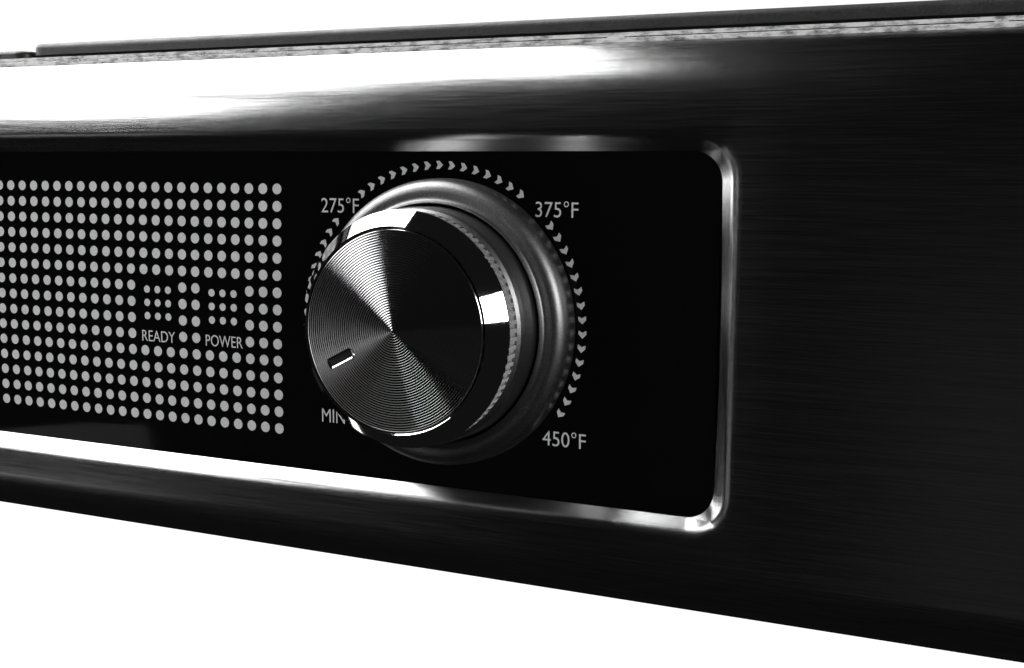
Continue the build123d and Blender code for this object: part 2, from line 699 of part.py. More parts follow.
def make_support_posts():
    """Posts that carry the reflectors above the base plate."""
    with BuildPart() as support_posts:
        with BuildSketch(Plane.XY.offset(BODY_BOTTOM + 2 * SHEET)):
            with Locations((-PLATE_MID_X, POST_MID_Y), (PLATE_MID_X, POST_MID_Y)):
                with GridLocations(POST_SPACING_X, POST_SPACING_Y, 2, 2):
                    Circle(POST_RADIUS)
        extrude(amount=REFLECTOR_TOP - REFLECTOR_THICK - BODY_BOTTOM - 2 * SHEET)
    save(support_posts, "reflector_posts")


def make_drain_chutes():
    """Two tubes that lead the plates' drains down to the tray."""
    with BuildPart() as chutes:
        with BuildSketch(Plane.XY.offset(TRAY_TOP + CHUTE_GAP)):
            with Locations((-DRAIN_X, DRAIN_Y), (DRAIN_X, DRAIN_Y)):
                Circle(SPOUT_RADIUS + DRAIN_CLEARANCE + CHUTE_WALL)
                Circle(SPOUT_RADIUS + DRAIN_CLEARANCE, mode=Mode.SUBTRACT)
        extrude(amount=REFLECTOR_TOP - REFLECTOR_THICK - TRAY_TOP - CHUTE_GAP)
    save(chutes, "drain_chutes")


# ==== drip tray ====
def make_drip_tray():
    """Open tray that pulls out through the rear panel."""
    front_y = TRAY_FRONT_Y
    depth = REAR_Y - TRAY_FRONT_Y
    with BuildPart() as drip_tray:
        with BuildSketch(Plane.XY.offset(TRAY_BOTTOM)):
            with Locations((0, front_y + depth / 2)):
                RectangleRounded(2 * TRAY_HALF_X, depth, 3)
        extrude(amount=TRAY_TOP - TRAY_BOTTOM)
        with BuildSketch(Plane.XY.offset(TRAY_BOTTOM + TRAY_WALL)):
            with Locations((0, front_y + depth / 2)):
                RectangleRounded(2 * (TRAY_HALF_X - TRAY_WALL), depth - 2 * TRAY_WALL, 2)
        extrude(amount=TRAY_TOP - TRAY_BOTTOM, mode=Mode.SUBTRACT)
    save(drip_tray, "drip_tray")


def make_tray_pull():
    """Face of the tray with a curled lip to pull it by."""
    near_y = REAR_Y + TRAY_FACE_GAP
    far_y = near_y + TRAY_FACE_THICK
    with BuildPart() as tray_pull:
        with BuildSketch(Plane.YZ.offset(-TRAY_FACE_HALF)):
            with BuildLine():
                Polyline(
                    (near_y, TRAY_FACE_LOW),
                    (far_y, TRAY_FACE_LOW),
                    (far_y, TRAY_FACE_HIGH - LIP_THICK - 1),
                    (PULL_REAR_Y - LIP_THICK, TRAY_FACE_HIGH - LIP_THICK - LIP_FALL),
                    (PULL_REAR_Y - LIP_THICK, TRAY_FACE_HIGH - LIP_DROP),
                    (PULL_REAR_Y, TRAY_FACE_HIGH - LIP_DROP),
                    (PULL_REAR_Y, TRAY_FACE_HIGH - LIP_FALL),
                    (far_y, TRAY_FACE_HIGH),
                    (near_y, TRAY_FACE_HIGH),
                    close=True,
                )
            make_face()
        extrude(amount=2 * TRAY_FACE_HALF)
        with BuildSketch(Plane.XZ.offset(-REAR_Y)):
            with Locations((0, (TRAY_BOTTOM + TRAY_TOP) / 2)):
                Rectangle(TRAY_HALF_X, TRAY_TAB_HEIGHT)
        extrude(amount=-TRAY_FACE_GAP)
        for end in (-1, 1):
            with BuildSketch(Plane.XZ.offset(-far_y)):
                with Locations((end * (TRAY_FACE_HALF - LIP_END / 2), TRAY_FACE_HIGH - LIP_DROP / 2)):
                    Rectangle(LIP_END, LIP_DROP + LIP_FALL)
            extrude(amount=-PULL_REAR_Y, mode=Mode.SUBTRACT)
    save(tray_pull, "tray_pull")


def make_tray_rails():
    """Two angle rails that the drip tray slides on."""
    shelf_z = TRAY_BOTTOM - 0.2 - RAIL_THICK / 2
    web_x = TRAY_HALF_X - 1 + (RAIL_WIDTH - RAIL_THICK) / 2
    web_low = BODY_BOTTOM + 2 * SHEET
    web_high = TRAY_BOTTOM + 7
    with BuildPart() as tray_rails:
        for side in SIDES.values():
            with BuildSketch(Plane.XZ.offset(-TRAY_FRONT_Y)):
                with Locations((side * (TRAY_HALF_X - 1), shelf_z)):
                    Rectangle(RAIL_WIDTH, RAIL_THICK)
                with Locations((side * web_x, (web_low + web_high) / 2)):
                    Rectangle(RAIL_THICK, web_high - web_low)
            extrude(amount=-(REAR_Y - SHEET - 1 - TRAY_FRONT_Y))
    save(tray_rails, "tray_rails")


# ==== controls ====
def make_control_fascia():
    """Glossy black panel, gently bowed from top to bottom."""
    sag = FASCIA_HALF_Z ** 2 / (2 * FASCIA_CROWN)
    low = (FASCIA_FACE_Y + sag, AXIS_Z - FASCIA_HALF_Z)
    high = (FASCIA_FACE_Y + sag, AXIS_Z + FASCIA_HALF_Z)
    with BuildPart() as control_fascia:
        with BuildSketch(Plane.YZ.offset(-FASCIA_HALF_X)):
            with BuildLine():
                ThreePointArc(low, (FASCIA_FACE_Y, AXIS_Z), high)
                Line(high, (FASCIA_BACK_Y, high[1]))
                Line((FASCIA_BACK_Y, high[1]), (FASCIA_BACK_Y, low[1]))
                Line((FASCIA_BACK_Y, low[1]), low)
            make_face()
        extrude(amount=2 * FASCIA_HALF_X)
        back = Plane(origin=(0, FASCIA_BACK_Y, AXIS_Z), x_dir=(1, 0, 0), z_dir=(0, -1, 0))
        with BuildSketch(back):
            RectangleRounded(
                2 * (FASCIA_HALF_X - FASCIA_GAP), 2 * (FASCIA_HALF_Z - FASCIA_GAP), FASCIA_CORNER
            )
            with Locations((AXIS_X, 0)):
                Circle(SHAFT_HOLE, mode=Mode.SUBTRACT)
        extrude(amount=FASCIA_BACK_Y - FASCIA_FACE_Y + 1, mode=Mode.INTERSECT)
    save(control_fascia, "control_fascia")


def make_light_guide(name, column):
    """Nine clear pins that carry a lamp's light to the panel."""
    guide = Plane(origin=(column, FASCIA_BACK_Y, AXIS_Z), x_dir=(1, 0, 0), z_dir=(0, -1, 0))
    with BuildPart() as light_guide:
        with BuildSketch(guide):
            with GridLocations(LAMP_PITCH, LAMP_PITCH, 3, 3):
                Circle(GUIDE_PIN_RADIUS)
        extrude(amount=-GUIDE_LENGTH)
        with BuildSketch(guide.offset(-GUIDE_LENGTH)):
            RectangleRounded(GUIDE_FLANGE, GUIDE_FLANGE, 1)
        extrude(amount=-GUIDE_FLANGE_THICK)
    save(light_guide, name)


def make_lamp(name, column):
    """Small round lamp behind a light guide."""
    back = Plane(origin=(column, LAMP_FRONT_Y, AXIS_Z), x_dir=(1, 0, 0), z_dir=(0, -1, 0))
    with BuildPart() as lamp:
        with BuildSketch(back):
            Circle(LAMP_RADIUS)
        extrude(amount=-LAMP_LENGTH)
    save(lamp, name)


def make_lamp_board():
    """Circuit board that carries both lamps."""
    with BuildPart() as lamp_board:
        with BuildSketch(Plane.XZ.offset(-BOARD_Y)):
            with Locations(((LAMP_COLUMN_READY + LAMP_COLUMN_POWER) / 2, AXIS_Z)):
                RectangleRounded(BOARD_WIDTH, BOARD_HEIGHT, 2)
        extrude(amount=-BOARD_THICK)
    save(lamp_board, "lamp_board")


def make_knob_face():
    """Spun aluminium disc with a slot for the pointer."""
    with BuildPart() as knob_face:
        with BuildSketch(knob_plane(FACE_HEIGHT - FACE_THICK)):
            Circle(FACE_RADIUS)
            with PolarLocations(POINTER_RADIUS, 1, start_angle=POINTER_ANGLE):
                SlotOverall(POINTER_LENGTH, POINTER_WIDTH, mode=Mode.SUBTRACT)
        extrude(amount=FACE_THICK)
    save(knob_face, "knob_face")


def make_knob_pointer():
    """Sunken pointer insert in the disc's slot."""
    with BuildPart() as knob_pointer:
        with BuildSketch(knob_plane(FACE_HEIGHT - FACE_THICK)):
            with PolarLocations(POINTER_RADIUS, 1, start_angle=POINTER_ANGLE):
                SlotOverall(POINTER_LENGTH, POINTER_WIDTH)
        extrude(amount=FACE_THICK / 2)
    save(knob_pointer, "knob_pointer")


def knob_outline(points):
    """Closed outline of (radius, height) pairs in the knob's section plane."""
    with BuildLine() as outline:
        Polyline(*knob_profile(points), close=True)
    return outline.edges()


def make_knob_bevel():
    """Chromed ring with a wide conical bevel."""
    inner = FACE_RADIUS + GROOVE_WIDTH
    ring = [
        (inner, KNURL_TOP),
        (BEVEL_OUTER, KNURL_TOP),
        (BEVEL_OUTER, BEVEL_HEIGHT),
        (inner + 0.2, FACE_HEIGHT),
        (inner, FACE_HEIGHT - 0.15),
    ]
    with BuildPart() as knob_bevel:
        with BuildSketch(KNOB_SECTION):
            make_face(knob_outline(ring))
        revolve(axis=KNOB_AXIS)
    save(knob_bevel, "knob_bevel")


def make_knob_body():
    """Moulded core: knurled band, boss for the disc and a bored hub on the shaft."""
    with BuildPart() as knob_body:
        with BuildSketch(knob_plane(KNURL_BOTTOM)):
            Circle(KNURL_RADIUS)
            with PolarLocations(KNURL_RADIUS, KNURL_TEETH):
                Rectangle(KNURL_CUT, KNURL_CUT, mode=Mode.SUBTRACT)
        extrude(amount=KNURL_TOP - KNURL_BOTTOM)
        with BuildSketch(knob_plane(KNURL_TOP)):
            Circle(FACE_RADIUS)
        extrude(amount=FACE_HEIGHT - FACE_THICK - KNURL_TOP)
        with BuildSketch(knob_plane(HUB_BOTTOM)):
            Circle(HUB_RADIUS)
        extrude(amount=KNURL_BOTTOM - HUB_BOTTOM)
        with BuildSketch(knob_plane(HUB_BOTTOM)):
            Circle(SHAFT_RADIUS)
        extrude(amount=SHAFT_TIP - HUB_BOTTOM, mode=Mode.SUBTRACT)
    save(knob_body, "knob_body")


def make_knob_skirt():
    """Satin sleeve below the knurling that runs down inside the bezel."""
    sleeve = [
        (SKIRT_RADIUS - 1.6, SKIRT_BOTTOM),
        (SKIRT_RADIUS, SKIRT_BOTTOM),
        (SKIRT_RADIUS, KNURL_BOTTOM - 1.4),
        (SKIRT_RADIUS - 0.25, KNURL_BOTTOM - 0.5),
        (SKIRT_RADIUS - 0.7, KNURL_BOTTOM),
        (SKIRT_RADIUS - 1.6, KNURL_BOTTOM),
    ]
    with BuildPart() as knob_skirt:
        with BuildSketch(KNOB_SECTION):
            make_face(knob_outline(sleeve))
        revolve(axis=KNOB_AXIS)
    save(knob_skirt, "knob_skirt")


def make_knob_bezel():
    """Fixed ring round the knob: sharp inner lip, hollow slope and a broad rounded shoulder."""
    corners = [
        (BEZEL_BORE, BEZEL_SEAT),
        (BEZEL_BORE, BEZEL_LIP),
        (BEZEL_BORE + 0.2, BEZEL_LIP),
        (BEZEL_BORE + 0.5, BEZEL_CREST + 0.25),
        (BEZEL_OUTER - BEZEL_SHOULDER, BEZEL_CREST),
        (BEZEL_OUTER - 1.1, BEZEL_CREST - 0.75),
        (BEZEL_OUTER - 0.35, BEZEL_CREST - 2.4),
        (BEZEL_OUTER, BEZEL_CREST - 3.0),
        (BEZEL_OUTER, BEZEL_SEAT),
    ]
    foot, lip, lip_end, hollow, crest, shoulder, shoulder_end, edge, edge_foot = knob_profile(corners)
    with BuildPart() as knob_bezel:
        with BuildSketch(KNOB_SECTION):
            with BuildLine():
                Polyline(foot, lip, lip_end)
                ThreePointArc(lip_end, hollow, crest)
                ThreePointArc(crest, shoulder, shoulder_end)
                Polyline(shoulder_end, edge, edge_foot, foot)
            make_face()
        revolve(axis=KNOB_AXIS)
    save(knob_bezel, "knob_bezel")


def make_thermostat():
    """Thermostat body behind the panel, its bush, its nut and its turning shaft."""
    with BuildPart() as body:
        with BuildSketch(knob_plane(-THERMOSTAT_FRONT)):
            RectangleRounded(THERMOSTAT_WIDTH, THERMOSTAT_HEIGHT, 3)
        extrude(amount=-THERMOSTAT_DEPTH)
        with BuildSketch(knob_plane(-THERMOSTAT_FRONT)):
            Circle(BUSH_RADIUS)
        extrude(amount=THERMOSTAT_FRONT + BUSH_REACH)
        with BuildSketch(knob_plane(BUSH_REACH)):
            Circle(SHAFT_RADIUS + RUNNING_GAP)
        extrude(amount=-THERMOSTAT_FRONT - BUSH_REACH - SHAFT_DEPTH, mode=Mode.SUBTRACT)
    save(body, "thermostat_body")
    with BuildPart() as nut:
        with BuildSketch(knob_plane(0.1)):
            RegularPolygon(NUT_RADIUS, 6)
            Circle(BUSH_RADIUS, mode=Mode.SUBTRACT)
        extrude(amount=NUT_THICK)
    save(nut, "thermostat_nut")
    with BuildPart() as shaft:
        with BuildSketch(knob_plane(-THERMOSTAT_FRONT - SHAFT_DEPTH + 1)):
            Circle(SHAFT_RADIUS)
        extrude(amount=THERMOSTAT_FRONT + SHAFT_DEPTH - 1 + SHAFT_TIP)
    save(shaft, "thermostat_shaft")


def make_sensor_bulb():
    """Heat sensor under the right plate, with its thin tube back to the thermostat."""
    bulb_z = PLATE_UNDER - SENSOR_RADIUS - 0.3
    start = (AXIS_X, THERMOSTAT_BACK_Y, AXIS_Z + 8)
    with BuildPart() as sensor_bulb:
        with BuildLine() as path:
            FilletPolyline(
                start,
                (AXIS_X, CAPILLARY_Y, AXIS_Z + 8),
                (AXIS_X, CAPILLARY_Y, bulb_z),
                (AXIS_X, SENSOR_Y, bulb_z),
                radius=5,
            )
        with BuildSketch(Plane(origin=start, z_dir=(0, 1, 0))):
            Circle(CAPILLARY_RADIUS)
        sweep(path=path.wires()[0])
        with BuildSketch(Plane.XZ.offset(-SENSOR_Y)):
            with Locations((AXIS_X, bulb_z)):
                Circle(SENSOR_RADIUS)
        extrude(amount=-SENSOR_LENGTH)
    save(sensor_bulb, "sensor_bulb")


# ==== electrics ====
def make_power_inlet():
    """Appliance inlet in the rear panel, with its three pins."""
    inlet = Plane(origin=(INLET_X, REAR_Y, INLET_Z), x_dir=(-1, 0, 0), z_dir=(0, 1, 0))
    with BuildPart() as power_inlet:
        with BuildSketch(inlet):
            RectangleRounded(INLET_WIDTH + 20, INLET_HEIGHT + 4, 3)
        extrude(amount=INLET_FLANGE)
        with BuildSketch(inlet):
            Rectangle(INLET_WIDTH - 0.4, INLET_HEIGHT - 0.4)
        extrude(amount=-INLET_DEPTH)
        with BuildSketch(inlet.offset(INLET_FLANGE)):
            RectangleRounded(INLET_WIDTH - 4, INLET_HEIGHT - 4, 2)
        extrude(amount=-INLET_CAVITY, mode=Mode.SUBTRACT)
    save(power_inlet, "power_inlet")
    with BuildPart() as inlet_pins:
        with BuildSketch(inlet.offset(INLET_FLANGE - INLET_CAVITY)):
            with Locations((-7, -1.5), (7, -1.5), (0, 2.5)):
                Rectangle(2, 4)
        extrude(amount=PIN_LENGTH)
    save(inlet_pins, "inlet_pins")
    with BuildPart() as inlet_screws:
        with BuildSketch(inlet.offset(INLET_FLANGE)):
            with GridLocations(INLET_WIDTH + 10, 0, 2, 1):
                Circle(2.8)
        extrude(amount=1.4)
    save(inlet_screws, "inlet_screws")


def make_terminal_block():
    """Ceramic block that joins the mains leads to the inner wiring."""
    with BuildPart() as terminal_block:
        with BuildSketch(Plane.XY.offset(BODY_BOTTOM + 2 * SHEET)):
            with Locations(BLOCK_PLACE):
                Rectangle(3 * BLOCK_PITCH, BLOCK_DEPTH)
        extrude(amount=BLOCK_HEIGHT)
        with BuildSketch(Plane.XY.offset(BODY_BOTTOM + 2 * SHEET + BLOCK_HEIGHT)):
            with Locations(BLOCK_PLACE):
                with GridLocations(BLOCK_PITCH, 0, 3, 1):
                    Circle(BLOCK_HOLE)
        extrude(amount=-BLOCK_HOLE_DEPTH, mode=Mode.SUBTRACT)
    save(terminal_block, "terminal_block")


def make_thermal_fuse():
    """Cut-out strapped to the right reflector's underside."""
    fuse_top = REFLECTOR_TOP - REFLECTOR_THICK
    with BuildPart() as thermal_fuse:
        with BuildSketch(Plane.XY.offset(fuse_top)):
            with Locations(FUSE_PLACE):
                Circle(FUSE_RADIUS)
        extrude(amount=-FUSE_HEIGHT)
        with BuildSketch(Plane.XY.offset(fuse_top)):
            with Locations(FUSE_PLACE):
                Rectangle(FUSE_STRAP, FUSE_RADIUS / 2)
        extrude(amount=-1)
    save(thermal_fuse, "thermal_fuse")


def make_wiring():
    """Insulated leads from the inlet to the block, and on to the thermostat and lamps."""
    block_x, block_y = BLOCK_PLACE
    block_top = BODY_BOTTOM + 2 * SHEET + BLOCK_HEIGHT - BLOCK_HOLE_DEPTH
    inlet_back = REAR_Y - INLET_DEPTH
    control_z = INLET_Z + 6
    lamp_z = AXIS_Z - BOARD_HEIGHT / 2 + 2
    near_run = THERMOSTAT_BACK_Y + 20
    far_run = THERMOSTAT_BACK_Y + 32
    mains_runs = ((-7, -BLOCK_PITCH, 22), (7, BLOCK_PITCH, 34))
    routes = [
        [
            (INLET_X + pin, inlet_back, INLET_Z),
            (INLET_X + pin, inlet_back - run, INLET_Z),
            (block_x + hole, inlet_back - run, INLET_Z),
            (block_x + hole, block_y, INLET_Z),
            (block_x + hole, block_y, block_top),
        ]
        for pin, hole, run in mains_runs
    ]
    routes.append([
        (block_x, block_y, block_top),
        (block_x, block_y, control_z),
        (block_x, near_run, control_z),
        (AXIS_X - 10, near_run, control_z),
        (AXIS_X - 10, THERMOSTAT_BACK_Y, control_z),
    ])
    routes.append([
        (AXIS_X + 10, THERMOSTAT_BACK_Y, lamp_z),
        (AXIS_X + 10, far_run, lamp_z),
        (LAMP_COLUMN_POWER, far_run, lamp_z),
        (LAMP_COLUMN_POWER, BOARD_Y + BOARD_THICK, lamp_z),
    ])
    with BuildPart() as wiring:
        for route in routes:
            with BuildLine() as path:
                FilletPolyline(*route, radius=6)
            start = Vector(*route[0])
            with BuildSketch(Plane(origin=start, z_dir=Vector(*route[1]) - start)):
                Circle(WIRE_RADIUS)
            sweep(path=path.wires()[0])
    save(wiring, "wiring")


def main():
    """Write every piece to the parts folder."""
    os.makedirs("parts", exist_ok=True)
    make_front_panel()
    make_rear_panel()
    make_base_plate()
    make_top_frame()
    make_centre_bridge()
    make_feet()
    make_foot_screws()
    make_rear_screws()
    for name, side in SIDES.items():
        make_end_cap(f"{name}_end_cap", side)
        make_handle(f"{name}_handle", side)
        make_plate(f"{name}_plate", side)
        make_plate_seal(f"{name}_plate_seal", side)
        make_element(f"{name}_element", side)
        make_element_terminals(f"{name}_element_terminals", side)
        make_element_clips(f"{name}_element_clips", side)
        make_reflector(f"{name}_reflector", side)
    make_support_posts()
    make_drain_chutes()
    make_drip_tray()
    make_tray_pull()
    make_tray_rails()
    make_control_fascia()
    make_light_guide("ready_light_guide", LAMP_COLUMN_READY)
    make_light_guide("power_light_guide", LAMP_COLUMN_POWER)
    make_lamp("ready_lamp", LAMP_COLUMN_READY)
    make_lamp("power_lamp", LAMP_COLUMN_POWER)
    make_lamp_board()
    make_knob_face()
    make_knob_pointer()
    make_knob_bevel()
    make_knob_body()
    make_knob_skirt()
    make_knob_bezel()
    make_thermostat()
    make_sensor_bulb()
    make_power_inlet()
    make_terminal_block()
    make_thermal_fuse()
    make_wiring()


main()
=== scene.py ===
"""Looks for the electric griddle: camera, studio, materials, printed graphics and fine metalwork.

Metres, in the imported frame: X to the right along the front, Y to the rear, Z up.
"""
import math

import bmesh
import bpy
from mathutils import Euler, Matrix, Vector, noise
from mathutils.bvhtree import BVHTree


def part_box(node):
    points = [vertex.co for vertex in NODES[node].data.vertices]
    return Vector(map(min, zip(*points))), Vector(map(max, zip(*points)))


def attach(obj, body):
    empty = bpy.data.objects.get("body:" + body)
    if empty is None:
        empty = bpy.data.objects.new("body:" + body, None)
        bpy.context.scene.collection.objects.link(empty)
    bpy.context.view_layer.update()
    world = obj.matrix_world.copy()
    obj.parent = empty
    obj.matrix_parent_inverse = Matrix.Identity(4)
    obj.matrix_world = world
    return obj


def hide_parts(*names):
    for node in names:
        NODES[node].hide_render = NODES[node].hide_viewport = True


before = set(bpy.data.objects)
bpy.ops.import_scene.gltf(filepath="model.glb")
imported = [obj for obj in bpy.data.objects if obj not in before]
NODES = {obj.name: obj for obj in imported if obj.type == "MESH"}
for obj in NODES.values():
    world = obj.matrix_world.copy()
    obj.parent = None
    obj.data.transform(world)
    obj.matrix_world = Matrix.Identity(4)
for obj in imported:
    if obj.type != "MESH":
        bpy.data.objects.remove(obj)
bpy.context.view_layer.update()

MM = 0.001

# ---- places read from the frame ----
face_low, face_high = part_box("knob_face")
fascia_low, fascia_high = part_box("control_fascia")
AXIS_X = (face_low.x + face_high.x) / 2
AXIS_Z = (face_low.z + face_high.z) / 2
CREST_Y = fascia_low.y
KNOB = Vector((AXIS_X, CREST_Y, AXIS_Z))


def grey(value):
    return (value, value, value, 1)


# ================================================================ camera and studio

CAMERA_OFFSET = Vector((113.25, -202.2, 24.5)) * MM
CAMERA_TURN = math.radians(26.44)
CAMERA_DIP = math.radians(6.54)
CAMERA_ROLL = math.radians(-0.56)
CAMERA_LENS = 46.97
CAMERA_SENSOR = 36.0
CAMERA_NEAR = 0.01

LIGHT_FAR = 1.1
SIDE_FAR = 1.3
REFLECTED_DARK = 0.006
BACKGROUND_STRENGTH = 1.05
FLOOR_HALF = 4.0
FLOOR_GREY = 0.7
FLOOR_ROUGHNESS = 0.9
FLOOR_GLOW = 1.1


def make_camera():
    data = bpy.data.cameras.new("camera")
    data.sensor_width = CAMERA_SENSOR
    data.lens = CAMERA_LENS
    data.clip_start = CAMERA_NEAR
    camera = bpy.data.objects.new("camera", data)
    camera.location = KNOB + CAMERA_OFFSET
    camera.rotation_euler = Euler((math.pi / 2 - CAMERA_DIP, CAMERA_ROLL, CAMERA_TURN))
    bpy.context.scene.collection.objects.link(camera)
    bpy.context.scene.camera = camera


def direction(azimuth, elevation):
    """Unit vector: azimuth 0 is straight out of the front, positive to the right, in degrees."""
    turn, rise = math.radians(azimuth), math.radians(elevation)
    return Vector((math.sin(turn) * math.cos(rise), -math.cos(turn) * math.cos(rise), math.sin(rise)))


def make_softbox(name, place, aim, size, radiance):
    """Soft rectangular light facing aim, not seen directly by the camera."""
    data = bpy.data.lights.new(name, "AREA")
    data.shape = "RECTANGLE"
    data.size, data.size_y = size
    data.energy = radiance * math.pi * size[0] * size[1]
    lamp = bpy.data.objects.new(name, data)
    lamp.location = place
    lamp.rotation_euler = (Vector(place) - Vector(aim)).to_track_quat("Z", "Y").to_euler()
    lamp.visible_camera = False
    bpy.context.scene.collection.objects.link(lamp)


def knob_light(name, azimuth, elevation, size, radiance, far=LIGHT_FAR):
    """Softbox that faces the knob from a direction given in degrees."""
    make_softbox(name, KNOB + direction(azimuth, elevation) * far, KNOB, size, radiance)


def make_lights():
    """Softboxes that the metal mirrors towards the camera, and rear_box, which lights the back."""
    make_softbox("overhead_box", (-1.05, -0.05, 0.86), (-1.05, -0.05, 0.0), (1.70, 1.1), 7.0)
    make_softbox("bridge_box", (-0.97, -0.70, 0.82), (-0.97, -0.15, 0.06), (0.98, 0.28), 3.4)
    knob_light("left_box", -53, 20, (0.36, 0.34), 5.0)
    knob_light("left_strip", -86, 4, (0.30, 0.24), 6.0)
    knob_light("left_glow", -57, -15, (0.46, 0.08), 0.45)
    knob_light("side_box", -112, 9, (0.50, 0.40), 4.0, SIDE_FAR)
    knob_light("right_box", 62, 15, (0.46, 0.40), 9.0)
    knob_light("low_card", 0, -15, (0.24, 0.46), 0.015)
    make_softbox("rear_box", (0.35, 1.3, 0.75), (0.0, 0.1, 0.05), (1.2, 0.7), 2.2)


def make_world():
    """White for the camera and nearly black for reflections, as round an object shot on a white sweep."""
    world = bpy.data.worlds.new("studio")
    bpy.context.scene.world = world
    world.use_nodes = True
    tree = world.node_tree
    dark = tree.nodes["Background"]
    dark.inputs["Color"].default_value = grey(REFLECTED_DARK)
    white = tree.nodes.new("ShaderNodeBackground")
    white.inputs["Color"].default_value = grey(1)
    white.inputs["Strength"].default_value = BACKGROUND_STRENGTH
    path = tree.nodes.new("ShaderNodeLightPath")
    mix = tree.nodes.new("ShaderNodeMixShader")
    tree.links.new(path.outputs["Is Camera Ray"], mix.inputs[0])
    tree.links.new(dark.outputs[0], mix.inputs[1])
    tree.links.new(white.outputs[0], mix.inputs[2])
    tree.links.new(mix.outputs[0], tree.nodes["World Output"].inputs["Surface"])


def make_floor():
    """Pale table top, lit from within like a light table so that no shadow darkens it."""
    mesh = bpy.data.meshes.new("floor")
    corners = ((-1, -1), (1, -1), (1, 1), (-1, 1))
    mesh.from_pydata([(FLOOR_HALF * x, FLOOR_HALF * y, 0) for x, y in corners], [], [(0, 1, 2, 3)])
    floor = bpy.data.objects.new("floor", mesh)
    bpy.context.scene.collection.objects.link(floor)
    floor.visible_glossy = False
    material = bpy.data.materials.new("floor")
    material.use_nodes = True
    shader = material.node_tree.nodes["Principled BSDF"]
    shader.inputs["Base Color"].default_value = grey(FLOOR_GREY)
    shader.inputs["Roughness"].default_value = FLOOR_ROUGHNESS
    shader.inputs["Emission Color"].default_value = grey(1)
    shader.inputs["Emission Strength"].default_value = FLOOR_GLOW
    mesh.materials.append(material)


# ================================================================ materials

# the sheet is drawn in by DRAW_RELIEF millimetres round the panel, over a distance of DRAW_REACH
DRAW_REACH = 12.0 * MM
DRAW_RELIEF = 0.7
BRASS_TINT = (1, 0.9, 0.6, 1)


